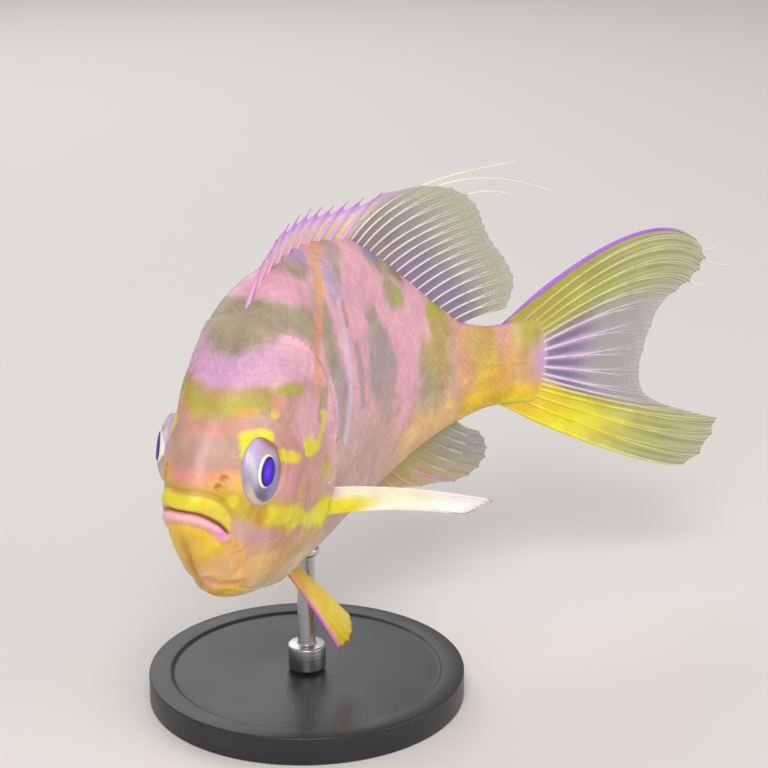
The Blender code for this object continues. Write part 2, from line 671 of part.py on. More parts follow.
def build_pectoral(side, tips, arch, group, material):
    """A side fin: its rays leave a short steep line behind the gill cover."""
    name = "pectoral_fin_left" if side < 0.0 else "pectoral_fin_right"
    roots = np.array([flank(s, z, side, GAP * 1.5) for s, z in spread(PECTORAL_ROOT, PECTORAL_COUNT)])
    ends = spread(tips, PECTORAL_COUNT)
    tips_w = place(ends[:, 0], ends[:, 1], ends[:, 2])
    guides = 0.5 * (roots + tips_w) + np.array(arch)
    points, half, _ = fin_columns(roots, guides, tips_w, [RAY] * PECTORAL_COUNT,
                                  [0.05] * PECTORAL_COUNT, (0.5,))
    return build_fin(name, sheet_faces(points, half), {}, group, material)


def build_pelvic(side, tips, arch, group, material):
    """A belly fin: a spine along its front edge, then five soft rays."""
    name = "pelvic_fin_left" if side < 0.0 else "pelvic_fin_right"
    places = spread(PELVIC_ROOT, PELVIC_COUNT)
    roots = []
    for s, across in places:
        wide, low = float(profile(HALF_WIDTH, s)), float(profile(BELLY, s))
        middle = float(profile(WIDEST_HEIGHT, s))
        skin = middle - (middle - low) * math.sqrt(1.0 - (across / wide) ** 2)
        roots.append(place(s, side * across, skin - GAP * 1.6 / STANDARD_LENGTH))
    ends = spread(tips, PELVIC_COUNT)
    tips_w = place(ends[:, 0], ends[:, 1], ends[:, 2])
    guides = 0.5 * (np.array(roots) + tips_w) + np.array(arch)
    sizes = [SPINE] + [RAY] * (PELVIC_COUNT - 1)
    points, half, _ = fin_columns(np.array(roots), guides, tips_w, sizes, [0.1] * PELVIC_COUNT, (0.24, 0.76))
    return build_fin(name, sheet_faces(points, half), {}, group, material)


def build_base(group, material):
    """The round base of the stand, turned from a profile with softened edges."""
    rim, top, soft = BASE_RADIUS, BASE_HEIGHT, BASE_BEVEL
    profile_points = [(0.0, top), (rim - 3.0 * soft, top), (rim - soft, top - 0.6 * soft),
                      (rim, top - 2.0 * soft), (rim, soft), (rim - soft, 0.0), (0.0, 0.0)]
    mesh = bpy.data.meshes.new("stand_base")
    edges = [(i, i + 1) for i in range(len(profile_points) - 1)]
    mesh.from_pydata([(x, 0.0, z) for x, z in profile_points], edges, [])
    mesh.materials.append(material)
    base = bpy.data.objects.new("stand_base", mesh)
    group.objects.link(base)
    turn = base.modifiers.new("turn", "SCREW")
    turn.axis = "Z"
    turn.steps = 48
    turn.render_steps = 48
    turn.use_merge_vertices = True
    turn.merge_threshold = 0.00001
    return base


def build_rod(group, material):
    """The rod of the stand, from the base up to the belly."""
    belly = AXIS_HEIGHT + STANDARD_LENGTH * float(profile(BELLY, STAND_S))
    low = BASE_HEIGHT + GAP
    high = belly - GAP
    shape = bmesh.new()
    bmesh.ops.create_cone(shape, cap_ends=True, segments=20, radius1=ROD_RADIUS, radius2=ROD_RADIUS,
                          depth=high - low)
    mesh = bpy.data.meshes.new("stand_rod")
    shape.to_mesh(mesh)
    shape.free()
    mesh.shade_smooth()
    mesh.set_sharp_from_angle(angle=math.radians(40.0))
    mesh.materials.append(material)
    rod = bpy.data.objects.new("stand_rod", mesh)
    rod.location = (0.0, 0.0, 0.5 * (low + high))
    group.objects.link(rod)
    return rod


def main():
    """Build every node."""
    clear_scene()
    parts = collection("swallowtail_anthias", True)
    cutters = collection("cutters", False)
    face = finish("face_skin", (0.80, 0.52, 0.50), 0.42)
    flank_skin = finish("flank_skin", (0.78, 0.50, 0.56), 0.40)
    stalk = finish("stalk_skin", (0.78, 0.50, 0.30), 0.40)
    build_head(parts, cutters, face)
    build_torso(parts, flank_skin)
    build_tail(parts, stalk)
    eye = finish("eye", (0.35, 0.25, 0.75), 0.08)
    build_eye(-1.0, parts, eye)
    build_eye(1.0, parts, eye)
    build_dorsal(parts, finish("dorsal_membrane", (0.70, 0.55, 0.50), 0.35))
    build_anal(parts, finish("anal_membrane", (0.50, 0.45, 0.25), 0.35))
    build_caudal(parts, finish("caudal_membrane", (0.66, 0.66, 0.20), 0.35))
    pectoral = finish("pectoral_membrane", (0.86, 0.78, 0.60), 0.35)
    build_pectoral(-1.0, LEFT_PECTORAL_TIPS, (0.0, 0.0, 0.0016), parts, pectoral)
    build_pectoral(1.0, RIGHT_PECTORAL_TIPS, (0.0, 0.0014, 0.0), parts, pectoral)
    pelvic = finish("pelvic_membrane", (0.85, 0.70, 0.08), 0.35)
    build_pelvic(-1.0, LEFT_PELVIC_TIPS, (0.0, -0.0010, 0.0), parts, pelvic)
    build_pelvic(1.0, RIGHT_PELVIC_TIPS, (0.0, 0.0012, -0.0008), parts, pelvic)
    build_base(parts, finish("stand_base_paint", (0.05, 0.05, 0.055), 0.35))
    build_rod(parts, finish("stand_rod_steel", (0.62, 0.62, 0.64), 0.28, 1.0))


main()
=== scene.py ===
"""Looks of the life-size blotched swallowtail anthias: skin, scales, eyes, fins, stand and studio.

Places on the fish are (s, y, z) in standard lengths: s runs from the snout (0) to the base of the
tail fin (1), y is across with the left side negative, and z is up from the body axis. The share q
runs down a side, from the back (0) to the belly (1).
"""

import logging
import math
from collections.abc import Callable, Sequence
from dataclasses import dataclass, field
from enum import Enum

import bpy
import numpy as np
from mathutils import Matrix, Vector


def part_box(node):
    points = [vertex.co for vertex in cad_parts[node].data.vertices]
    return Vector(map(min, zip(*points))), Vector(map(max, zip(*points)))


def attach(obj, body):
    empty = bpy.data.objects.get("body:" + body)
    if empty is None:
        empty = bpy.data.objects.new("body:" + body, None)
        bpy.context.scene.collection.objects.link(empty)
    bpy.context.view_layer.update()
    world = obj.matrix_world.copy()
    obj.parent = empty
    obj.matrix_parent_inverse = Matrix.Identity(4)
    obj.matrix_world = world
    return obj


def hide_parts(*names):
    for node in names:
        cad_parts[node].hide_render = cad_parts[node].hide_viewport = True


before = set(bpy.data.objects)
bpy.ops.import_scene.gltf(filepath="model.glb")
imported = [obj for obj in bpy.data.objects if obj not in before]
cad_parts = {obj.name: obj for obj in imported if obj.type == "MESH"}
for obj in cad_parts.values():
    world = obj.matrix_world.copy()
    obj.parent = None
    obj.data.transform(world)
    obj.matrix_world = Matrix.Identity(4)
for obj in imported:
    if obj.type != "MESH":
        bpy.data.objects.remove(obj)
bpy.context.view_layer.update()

LOG = logging.getLogger("anthias")
MM = 0.001
LEFT = -1.0
RIGHT = 1.0
Pairs = Sequence[tuple[float, float]]
Array = np.ndarray
Colour = tuple[int, int, int]


class Paint:
    """Colours of the live fish, and of a few painted highlights and shades, named by the eye, as red,
    green and blue up to 255.
    """

    ROSE = (234, 172, 186)
    BRIGHT_PINK = (234, 168, 184)
    LILAC = (206, 160, 206)
    PALE_LILAC = (228, 204, 222)
    VIOLET_GREY = (172, 154, 190)
    BLUE_VIOLET = (150, 130, 208)
    OLIVE_GREY = (168, 152, 122)
    GREY_MAUVE = (174, 152, 148)
    UMBER = (136, 114, 76)
    KHAKI = (190, 162, 90)
    OLIVE = (178, 168, 48)
    STRAW = (196, 156, 62)
    PINK_ORANGE = (228, 160, 122)
    BURNT_ORANGE = (206, 130, 90)
    YELLOW = (232, 220, 28)
    MUSTARD = (206, 172, 26)
    GOLD = (234, 188, 22)
    GOLD_SHADE = (196, 146, 10)
    DUSTY_PEACH = (192, 152, 134)
    SALMON = (236, 146, 122)
    ORANGE = (236, 164, 84)
    MAUVE_PINK = (198, 138, 130)
    BELLY_MAUVE = (206, 162, 152)
    TAN = (216, 168, 96)
    PEACH = (238, 192, 124)
    CREAM = (240, 214, 184)
    MILK = (250, 240, 214)
    WHITE = (250, 246, 244)
    # painted shade in the slit of the mouth
    SLIT_SHADE = (170, 92, 22)
    LIP_PINK = (250, 186, 192)
    MAGENTA = (240, 116, 232)
    SPINE_PINK = (224, 164, 214)
    LEMON = (226, 218, 120)
    SPINE_RED = (222, 84, 96)
    VIOLET = (176, 92, 226)
    DEEP_VIOLET = (118, 92, 150)
    RAY_PALE = (232, 230, 200)
    # painted highlight: the white streak over the front of the iris
    HIGHLIGHT_WHITE = (236, 226, 240)
    CLEAR_GREY = (146, 138, 134)
    CLEAR_GREEN = (160, 164, 116)
    LEAF = (158, 158, 62)
    LEAF_PALE = (206, 206, 132)
    EGG = (238, 196, 26)
    RAY_LILAC = (218, 200, 228)
    IRIS_LILAC = (182, 168, 216)
    IRIS_GREY = (134, 134, 164)
    IRIS_DARK = (98, 92, 112)
    IRIS_CREAM = (250, 246, 214)
    # painted shade: brown at the upper rear rim of the eye and in the nostril pits
    SHADE_BROWN = (170, 104, 60)
    PUPIL = (52, 0, 208)
    # painted shade at the pupil's rim and on its rear side
    PUPIL_SHADE = (26, 4, 90)
    # painted reflection: the bright violet patch in the pupil
    PUPIL_REFLECTION = (112, 44, 236)


def linear(colour: Colour) -> Array:
    """A screen colour as linear light.

    Args:
        colour: red, green and blue up to 255.

    Returns:
        The three linear values up to 1.
    """
    share = np.array(colour, dtype=float) / 255.0
    return np.where(share <= 0.04045, share / 12.92, ((share + 0.055) / 1.055) ** 2.4)


def ease(value: Array | float, low: float, high: float) -> Array:
    """A smooth step.

    Args:
        value: the numbers to step.
        low: where the step starts.
        high: where the step ends.

    Returns:
        0 below low, 1 above high and a smooth climb between.
    """
    t = np.clip((np.asarray(value, dtype=float) - low) / (high - low), 0.0, 1.0)
    return t * t * (3.0 - 2.0 * t)


def bump(distance: Array, width: float) -> Array:
    """A rounded ridge, one unit high where the distance is 0."""
    return np.exp(-((distance / width) ** 2))


def through(points: Pairs, x: Array | float) -> Array:
    """The smooth curve through a few points, which never swings past them.

    Args:
        points: pairs of place and value, in order of place.
        x: the places to read.

    Returns:
        The curve's value at each place.
    """
    px, py = np.array(points, dtype=float).T
    step = np.diff(px)
    rise = np.diff(py) / step
    slope = np.concatenate([rise[:1], np.zeros(len(px) - 2), rise[-1:]])
    for k in range(1, len(px) - 1):
        if rise[k - 1] * rise[k] > 0.0:
            before = 2.0 * step[k] + step[k - 1]
            after = step[k] + 2.0 * step[k - 1]
            slope[k] = (before + after) / (before / rise[k - 1] + after / rise[k])
    x = np.clip(np.asarray(x, dtype=float), px[0], px[-1])
    k = np.clip(np.searchsorted(px, x, side="right") - 1, 0, len(px) - 2)
    t = (x - px[k]) / step[k]
    start = (1.0 + 2.0 * t) * (1.0 - t) ** 2 * py[k] + t * (1.0 - t) ** 2 * step[k] * slope[k]
    end = t * t * (3.0 - 2.0 * t) * py[k + 1] + t * t * (t - 1.0) * step[k] * slope[k + 1]
    return start + end


def spread(knots: Sequence[Sequence[float]], count: int) -> Array:
    """Points spaced evenly by number along the smooth curve through a few knots.

    Args:
        knots: the points that shape the curve.
        count: how many points to return.

    Returns:
        An array with one row for each point.
    """
    knots = np.asarray(knots, dtype=float)
    at = np.linspace(0.0, 1.0, len(knots))
    want = np.linspace(0.0, 1.0, count)
    return np.stack([through(list(zip(at, knots[:, i])), want) for i in range(knots.shape[1])], axis=-1)


def line_distance(s: Array, z: Array, line: Pairs) -> tuple[Array, Array]:
    """How far places are from a line of short runs.

    Args:
        s: the places' first coordinate.
        z: the places' second coordinate.
        line: the corners of the line.

    Returns:
        The distance, and the share of the line's length at the nearest point.
    """
    corners = np.array(line, dtype=float)
    runs = np.diff(corners, axis=0)
    lengths = np.hypot(runs[:, 0], runs[:, 1])
    best = np.full(np.shape(s), 1e9)
    share = np.zeros(np.shape(s))
    passed = 0.0
    for (a, b), (da, db), length in zip(corners, runs, lengths):
        t = np.clip(((s - a) * da + (z - b) * db) / length ** 2, 0.0, 1.0)
        off = np.hypot(s - a - t * da, z - b - t * db)
        nearer = off < best
        best = np.where(nearer, off, best)
        share = np.where(nearer, (passed + t * length) / lengths.sum(), share)
        passed += length
    return best, share


@dataclass(frozen=True)
class Waviness:
    """A smooth, seeded unevenness over space, about -1 to 1."""

    seed: int
    scale: float
    terms: int = 16

    def at(self, points: Array) -> Array:
        """The unevenness at points.

        Args:
            points: places, with three coordinates along the last axis.

        Returns:
            One value for each place.
        """
        draw = np.random.default_rng(self.seed)
        ways = draw.normal(size=(self.terms, 3))
        ways /= np.linalg.norm(ways, axis=1, keepdims=True)
        ways *= self.scale * draw.uniform(0.6, 1.8, size=(self.terms, 1))
        turn = draw.uniform(0.0, 2.0 * math.pi, self.terms)
        return np.sin(points @ ways.T + turn).sum(axis=-1) / math.sqrt(self.terms)


# Mesh work shared by the pieces


def deselect() -> None:
    """Leave nothing selected."""
    if bpy.context.mode != "OBJECT":
        bpy.ops.object.mode_set(mode="OBJECT")
    bpy.ops.object.select_all(action="DESELECT")


def pick(thing: bpy.types.Object) -> None:
    """Make one object the only selected and active one."""
    deselect()
    thing.select_set(True)
    bpy.context.view_layer.objects.active = thing


def apply_modifiers(thing: bpy.types.Object) -> None:
    """Apply all of an object's modifiers in order."""
    pick(thing)
    for name in [m.name for m in thing.modifiers]:
        bpy.ops.object.modifier_apply(modifier=name)


def settle(thing: bpy.types.Object) -> None:
    """Put an object's place into its mesh."""
    pick(thing)
    bpy.ops.object.transform_apply(location=True, rotation=True, scale=True)


def mesh_points(mesh: bpy.types.Mesh) -> Array:
    """The mesh's points as an array."""
    flat = np.empty(len(mesh.vertices) * 3, dtype=np.float64)
    mesh.vertices.foreach_get("co", flat)
    return flat.reshape(-1, 3)


def set_points(mesh: bpy.types.Mesh, points: Array) -> None:
    """Move the mesh's points to new places."""
    mesh.vertices.foreach_set("co", np.asarray(points, dtype=np.float64).ravel())
    mesh.update()


def set_value(mesh: bpy.types.Mesh, name: str, values: Array) -> None:
    """Store one number for each point."""
    layer = mesh.attributes.new(name, "FLOAT", "POINT")
    layer.data.foreach_set("value", np.asarray(values, dtype=np.float32).ravel())


def set_tint(mesh: bpy.types.Mesh, colours: Array) -> None:
    """Store a linear colour for each point, as the tint that the finishes read."""
    layer = mesh.attributes.new("tint", "FLOAT_COLOR", "POINT")
    full = np.ones((len(mesh.vertices), 4), dtype=np.float32)
    full[:, :3] = np.clip(colours, 0.0, 1.0)
    layer.data.foreach_set("color", full.ravel())


def grid_piece(name: str, points: Array) -> bpy.types.Object:
    """A sheet that starts as a flat grid and is drawn to its form.

    Args:
        name: the piece's name.
        points: places over rows and columns, three coordinates each.

    Returns:
        The new object, whose point order is that of points.
    """
    rows, columns = points.shape[:2]
    deselect()
    bpy.ops.mesh.primitive_grid_add(x_subdivisions=columns - 1, y_subdivisions=rows - 1, size=1.0)
    thing = bpy.context.object
    thing.name = thing.data.name = name
    set_points(thing.data, points.reshape(-1, 3))
    return thing


def array_piece(name: str, points: Array, faces: Sequence[Sequence[int]]) -> bpy.types.Object:
    """One object from many small joined forms.

    Args:
        name: the piece's name.
        points: all places.
        faces: corner numbers of each face.

    Returns:
        The new object.
    """
    mesh = bpy.data.meshes.new(name)
    mesh.from_pydata(points.tolist(), [], faces)
    thing = bpy.data.objects.new(name, mesh)
    bpy.context.scene.collection.objects.link(thing)
    return thing


def finish_piece(thing: bpy.types.Object, finish: bpy.types.Material, slot: str,
        smooth: bool = True) -> bpy.types.Object:
    """Shade a piece smooth unless it has been shaded, dress it and let it ride on the model."""
    if smooth:
        thing.data.shade_smooth()
    thing.data.materials.clear()
    thing.data.materials.append(finish)
    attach(thing, "root")
    LOG.info("%s: %d faces", thing.name, len(thing.data.polygons))
    return thing


# Form of the fish


@dataclass
class BodyForm:
    """The form of the body, from its profiles in standard lengths, and the relief of its skin."""

    length: float = 0.09
    axis_height: float = 0.0455
    head_heading: float = math.radians(20.0)
    tail_heading: float = math.radians(-20.0)
    turn: tuple[float, float] = (0.302, 0.948)
    stand_s: float = 0.45
    head_lean: float = 0.26
    far_brow: float = 0.1
    back: Pairs = (
        (0.0, -0.002), (0.003, 0.014), (0.01, 0.036), (0.022, 0.06), (0.06, 0.106), (0.115, 0.157),
        (0.167, 0.203), (0.229, 0.251), (0.323, 0.296), (0.4375, 0.3125), (0.573, 0.296),
        (0.65, 0.256), (0.719, 0.203), (0.8125, 0.124), (0.854, 0.094), (0.917, 0.079), (1.0, 0.083),
    )
    belly: Pairs = (
        (0.0, -0.002), (0.003, -0.032), (0.01, -0.064), (0.022, -0.094), (0.045, -0.13),
        (0.075, -0.163), (0.115, -0.188), (0.167, -0.208), (0.25, -0.223), (0.35, -0.23),
        (0.45, -0.224), (0.573, -0.197), (0.66, -0.168), (0.75, -0.128), (0.844, -0.093),
        (0.917, -0.077), (1.0, -0.082),
    )
    half_width: Pairs = (
        (0.0, 0.0), (0.003, 0.02), (0.01, 0.033), (0.022, 0.044), (0.05, 0.058), (0.1, 0.078),
        (0.167, 0.101), (0.25, 0.11), (0.36, 0.109), (0.46, 0.102), (0.573, 0.087), (0.719, 0.06),
        (0.8125, 0.042), (0.9, 0.029), (1.0, 0.017),
    )
    widest_height: Pairs = (
        (0.0, -0.002), (0.03, -0.006), (0.1, 0.006), (0.2, 0.004), (0.35, 0.01), (0.5, 0.025),
        (0.7, 0.025), (0.85, 0.002), (1.0, 0.0),
    )
    gill_edge: Pairs = (
        (0.0, 0.213), (0.14, 0.232), (0.28, 0.29), (0.42, 0.336), (0.55, 0.344), (0.66, 0.326),
        (0.8, 0.284), (1.0, 0.262),
    )
    stalk_end: float = 0.042
    mouth_line: Pairs = ((-0.004, -0.001), (0.002, -0.003), (0.01, -0.009), (0.022, -0.019),
        (0.034, -0.029), (0.044, -0.039), (0.053, -0.05))
    maxilla: Pairs = ((0.034, 0.01), (0.054, -0.012), (0.068, -0.042), (0.078, -0.076))
    jaw_edge: Pairs = ((0.064, -0.068), (0.076, -0.085), (0.092, -0.11), (0.1, -0.134))
    throat_edge: Pairs = ((0.05, -0.13), (0.072, -0.146), (0.096, -0.154), (0.125, -0.16))
    cheek_lines: tuple[float, ...] = (0.865, 0.905, 0.945, 0.975)
    lateral_line: Pairs = ((0.33, 0.12), (0.4, 0.205), (0.5, 0.228), (0.6, 0.205), (0.7, 0.142),
        (0.78, 0.08), (0.85, 0.032), (0.92, 0.012), (0.99, 0.004))
    eye_place: tuple[float, float] = (0.119, 0.036)
    eye_squeeze: float = 0.9
    eye_forward: float = math.radians(6.0)
    eye_up: float = math.radians(4.0)
    nostrils: Sequence[tuple[float, float]] = ((0.036, 0.032), (0.047, 0.043))
    columns: int = 128
    mouth_column: int = 73
    lip_steps: tuple[float, ...] = (0.0, 0.06, 0.12, 0.19, 0.27, 0.36, 0.47, 0.6, 0.75, 0.95, 1.2, 1.5,
        1.85, 2.2, 2.6)

    def __post_init__(self) -> None:
        """Add up the body axis, seen from above, from short steps along its heading."""
        self.axis_s = np.linspace(-0.1, 1.6, 851)
        turn = self.heading(self.axis_s)
        step = self.axis_s[1] - self.axis_s[0]
        path = []
        for component in (np.cos(turn), np.sin(turn)):
            middle = 0.5 * (component[1:] + component[:-1]) * step
            path.append(np.concatenate([[0.0], np.cumsum(middle)]))
        self.axis_x, self.axis_y = path

    def heading(self, s: Array | float) -> Array:
        """Direction of the body axis at s, seen from above."""
        return self.head_heading + (self.tail_heading - self.head_heading) * ease(s, *self.turn)

    def place(self, s: Array, y: Array | float, z: Array | float) -> Array:
        """World places in metres of places on the fish, whose head leans a little to its left.

        Args:
            s: places along the fish.
            y: places across.
            z: heights over the axis.

        Returns:
            World coordinates along a new last axis.
        """
        s, y, z = np.broadcast_arrays(*(np.asarray(v, dtype=float) for v in (s, y, z)))
        right, front = np.maximum(y, 0.0), 1.0 - ease(s, 0.12, 0.36)
        y = y - self.far_brow * right * front * bump(z - 0.08, 0.13)
        z = z + self.head_lean * right ** 2 / (right + 0.03) * front
        turn = self.heading(s)
        x = np.interp(s, self.axis_s, self.axis_x) - np.interp(self.stand_s, self.axis_s, self.axis_x)
        across = np.interp(s, self.axis_s, self.axis_y) - np.interp(self.stand_s, self.axis_s,
            self.axis_y)
        return np.stack([self.length * (x - np.sin(turn) * y), self.length * (across + np.cos(turn) * y),
                self.axis_height + self.length * z,
            ], axis=-1)

    def profile(self, points: Pairs, s: Array | float) -> Array:
        """A body profile at s, rounded at the snout because it is drawn over the root of s."""
        return through([(math.sqrt(a), b) for a, b in points], np.sqrt(np.clip(s, 0.0, 1.0)))

    def mouth_height(self, s: Array) -> Array:
        """Height of the line of the mouth at s."""
        return through(self.mouth_line, s)

    def section_angle(self, s: Array, q: Array) -> Array:
        """Angle from the top of the section, with columns packed along the lips.

        Args:
            s: places along the fish.
            q: shares from the back (0) to the belly (1).

        Returns:
            The angle for each place.
        """
        middle, low = self.profile(self.widest_height, s), self.profile(self.belly, s)
        high = self.profile(self.back, s)
        drop = np.clip((middle - self.mouth_height(s)) / np.maximum(middle - low, 1e-6), 0.0, 0.9)
        slit = math.pi - np.arccos(drop)
        index = q * self.columns
        below = index >= self.mouth_column
        room = np.where(below, math.pi - slit, slit)
        scale = np.maximum(np.where(below, middle - low, high - middle) * self.length, 1e-5)
        count = np.where(below, self.columns - self.mouth_column, self.mouth_column)
        steps = np.abs(index - self.mouth_column)
        last = len(self.lip_steps) - 1
        lips = np.array(self.lip_steps) * MM
        share = np.linspace(0.0, 0.6, last + 1)
        k = np.clip(np.floor(steps).astype(int), 0, last - 1)
        first = np.minimum(lips[k] / scale, share[k] * room)
        second = np.minimum(lips[k + 1] / scale, share[k + 1] * room)
        outer = np.minimum(lips[last] / scale, share[last] * room)
        beyond = outer + (room - outer) * (steps - last) / (count - last)
        turn = np.where(steps <= last, first + (second - first) * (steps - k), beyond)
        packed = slit + np.where(below, 1.0, -1.0) * np.clip(turn, 0.0, room)
        corner = self.mouth_line[-1][0]
        return packed + (q * math.pi - packed) * ease(s, corner, 0.2)

    def plain(self, s: Array, q: Array, side: Array | float) -> Array:
        """The form without its relief, as places on the fish.

        Args:
            s: places along the fish.
            q: shares from the back to the belly.
            side: -1 for the left side, 1 for the right.

        Returns:
            (s, y, z) along a new last axis.
        """
        s, q, side = np.broadcast_arrays(s, q, side)
        angle = self.section_angle(s, q)
        high, low = self.profile(self.back, s), self.profile(self.belly, s)
        middle, wide = self.profile(self.widest_height, s), self.profile(self.half_width, s)
        top = np.cos(angle) > 0.0
        keel = 1.0 + (0.4 * ease(s, 0.26, 0.42) - 0.28 * ease(s, 0.04, 0.15)) * top
        jaw = 1.0 + 0.28 * (1.0 - ease(s, 0.06, 0.18)) * (np.cos(angle) < 0.0)
        y = wide * np.sign(np.sin(angle)) * np.abs(np.sin(angle)) ** (keel * jaw)
        z = middle + np.where(top, high - middle, middle - low) * np.cos(angle)
        past = np.clip(np.maximum(s - 1.0, 0.0) / self.stalk_room(q), 0.0, 1.0)
        end = (1.0 - past) ** 0.75
        y = y * (1.0 - past) ** (0.75 + 0.9 * ease(past, 0.0, 1.0))
        z = middle + (z - middle) * (0.92 + 0.08 * end)
        away_s, away_z = s - self.eye_place[0], z - self.eye_place[1]
        flat = self.eye_width + away_s * math.tan(self.eye_forward) - away_z * math.tan(self.eye_up)
        draw = 0.3 * (1.0 - ease(np.hypot(away_s, away_z), 0.05, 0.085)) * (y > 0.0)
        return np.stack([s, side * (y + (flat - y) * draw), z], axis=-1)

    @property
    def eye_width(self) -> float:
        """Half width of the plain form at the middle of the eye."""
        s, z = self.eye_place
        high, middle = self.profile(self.back, s), self.profile(self.widest_height, s)
        angle = math.acos((z - middle) / (high - middle))
        keel = 1.0 + 0.4 * ease(s, 0.26, 0.42) - 0.28 * ease(s, 0.04, 0.15)
        return float(self.profile(self.half_width, s) * math.sin(angle) ** keel)

    def stalk_room(self, q: Array) -> Array:
        """How far the flesh of the stalk runs on over the rays of the tail fin."""
        return self.stalk_end * (0.3 + 0.7 * np.sin(math.pi * np.clip(q, 0.0, 1.0)).clip(0.0) ** 0.8)

    def behind_gill(self, s: Array, q: Array) -> Array:
        """How far a place lies behind the edge of the gill cover."""
        return s - through(self.gill_edge, q)

    def eye_distance(self, s: Array, z: Array) -> Array:
        """Distance from the middle of the eye, which is a little taller than long."""
        return np.hypot(s - self.eye_place[0], self.eye_squeeze * (z - self.eye_place[1]))

    def mouth_distance(self, s: Array, z: Array) -> Array:
        """Distance over (positive) or under (negative) the line of the mouth."""
        off, along = line_distance(s, z, spread(self.mouth_line, 16))
        lip = np.where(z > self.mouth_height(s), 1.0 - 0.55 * ease(along, 0.3, 1.0), -1.0)
        return off / lip

    def head_relief(self, s: Array, y: Array, z: Array) -> Array:
        """Height in metres of the lips, jaws, nostrils, eye rims and cheeks over the plain form.

        Args:
            s: places along the fish.
            y: places across.
            z: heights over the axis.

        Returns:
            The height at each place.
        """
        above = self.mouth_distance(s, z)
        corner = self.mouth_line[-1][0]
        open_end = 1.0 - ease(s, corner - 0.006, corner + 0.008)
        lips = 0.00034 * bump(above - 0.015, 0.0125) + 0.0004 * bump(above + 0.007, 0.0058)
        lips = lips - 0.00026 * bump(above - 0.033, 0.004) - 0.00024 * bump(above + 0.0165, 0.0034)
        slit = -0.0006 * bump(above, 0.0024)
        off, along = line_distance(s, z, spread(self.maxilla, 14))
        half = 0.005 + 0.008 * along
        bone = 0.00024 * (1.0 - ease(off, 0.75 * half, 1.35 * half)) * ease(along, 0.08, 0.4)
        off, along = line_distance(s, z, spread(self.jaw_edge, 14))
        jaw = -0.00026 * bump(off, 0.0045) * ease(along, 0.0, 0.25)
        off, along = line_distance(s, z, spread(self.throat_edge, 14))
        fold = (-0.00018 * bump(off, 0.0045) + 0.00014 * bump(off - 0.009, 0.005)) * (1.0
            - ease(along, 0.8, 1.0))
        chin = -0.0005 * bump(y, 0.0065) * ease(s, 0.006, 0.02) * (1.0 - ease(s, 0.06, 0.085))
        chin = chin * ease(-above, 0.02, 0.035)
        eye = self.eye_distance(s, z)
        socket = -0.0024 * (1.0 - ease(eye, 0.034, 0.0425))
        rim = 0.00028 * bump(eye - 0.0462, 0.0065) - 0.00004 * bump(eye - 0.06, 0.006)
        pits = np.zeros(np.shape(s))
        for at, height in self.nostrils:
            near = np.hypot(s - at, z - height)
            pits = pits - 0.00055 * bump(near, 0.004) + 0.00018 * bump(near - 0.0078, 0.0024)
        return open_end * (lips + slit) + bone + jaw + fold + chin + socket + rim + pits

    def cheek_relief(self, s: Array, q: Array, z: Array) -> Array:
        """Height in metres of the two gill cover bones, their spines and the folds of the throat.

        Args:
            s: places along the fish.
            q: shares from the back to the belly.
            z: heights over the axis.

        Returns:
            The height at each place.
        """
        margin = 0.178 + 0.045 * np.cos((z + 0.03) * 9.0)
        teeth = 0.0022 * np.abs(((z * 78.0) % 1.0) * 2.0 - 1.0)
        past = s - margin - teeth
        plate = 0.00038 * (1.0 - ease(past, -0.002, 0.0045)) * ease(s, 0.13, 0.17)
        plate = plate * (1.0 - ease(z, 0.06, 0.1)) * ease(z, -0.19, -0.15)
        behind = self.behind_gill(s, q)
        spines = np.zeros(np.shape(s))
        for height, reach in ((0.058, 0.03), (0.02, 0.042), (-0.022, 0.03)):
            share = np.clip((behind + reach + 0.004) / reach, 0.0, 1.0)
            width = 0.0065 * (1.0 - share) + 0.0012
            spines = spines + 0.00022 * bump(z - height + 0.15 * (behind + 0.01), width) * ease(share,
                0.0, 0.3)
        folds = np.zeros(np.shape(s))
        for line in self.cheek_lines:
            folds = folds - 0.00016 * bump(q - line - 0.15 * (s - 0.17), 0.0065)
        folds = folds * ease(s, 0.075, 0.11) * (behind < 0.0)
        return plate + spines * (behind < -0.002) + folds

    def relief(self, s: Array, q: Array, y: Array, z: Array) -> Array:
        """Height in metres of all relief of the skin over the plain form."""
        behind = self.behind_gill(s, q)
        on_side = ease(q, 0.1, 0.25)
        flap = np.where(behind <= 1e-9, 0.0005 * ease(behind, -0.045, 0.0),
            -0.00022 * np.exp(-np.maximum(behind, 0.0) / 0.006)) * on_side
        head = np.zeros(np.shape(s))
        near = s < 0.36
        if near.any():
            head[near] = (self.head_relief(s[near], y[near], z[near])
                + self.cheek_relief(s[near], q[near], z[near]))
        head = head * (behind < 0.0)
        off, _ = line_distance(s, z, spread(self.lateral_line, 30))
        beads = 0.75 + 0.25 * np.sin(s * 270.0)
        line = 0.0001 * bump(off, 0.0042) * beads * (behind > 0.0)
        return flap + head + line

    def skin(self, s: Array, q: Array, side: Array | float, lift: Array | float = 0.0) -> tuple[Array,
            Array]:
        """Points of the skin and their places on the fish.

        Args:
            s: places along the fish.
            q: shares from the back to the belly.
            side: -1 for the left side, 1 for the right.
            lift: height over the skin in metres.

        Returns:
            World points, and (s, y, z) before the relief.
        """
        s, q, side = (np.array(v) for v in np.broadcast_arrays(s, q, side))
        reach = np.minimum(0.0015, 0.3 * s + 1e-5)
        along = self.plain(s + reach, q, side) - self.plain(s - reach, q, side)
        down = self.plain(s, q + 0.004, side) - self.plain(s, q - 0.004, side)
        normal = np.cross(along, down) * side[..., None]
        normal /= np.maximum(np.linalg.norm(normal, axis=-1, keepdims=True), 1e-12)
        at = self.plain(s, q, side)
        height = self.relief(s, q, np.abs(at[..., 1]), at[..., 2]) + lift
        full = at + normal * (height / self.length)[..., None]
        return self.place(full[..., 0], full[..., 1], full[..., 2]), at

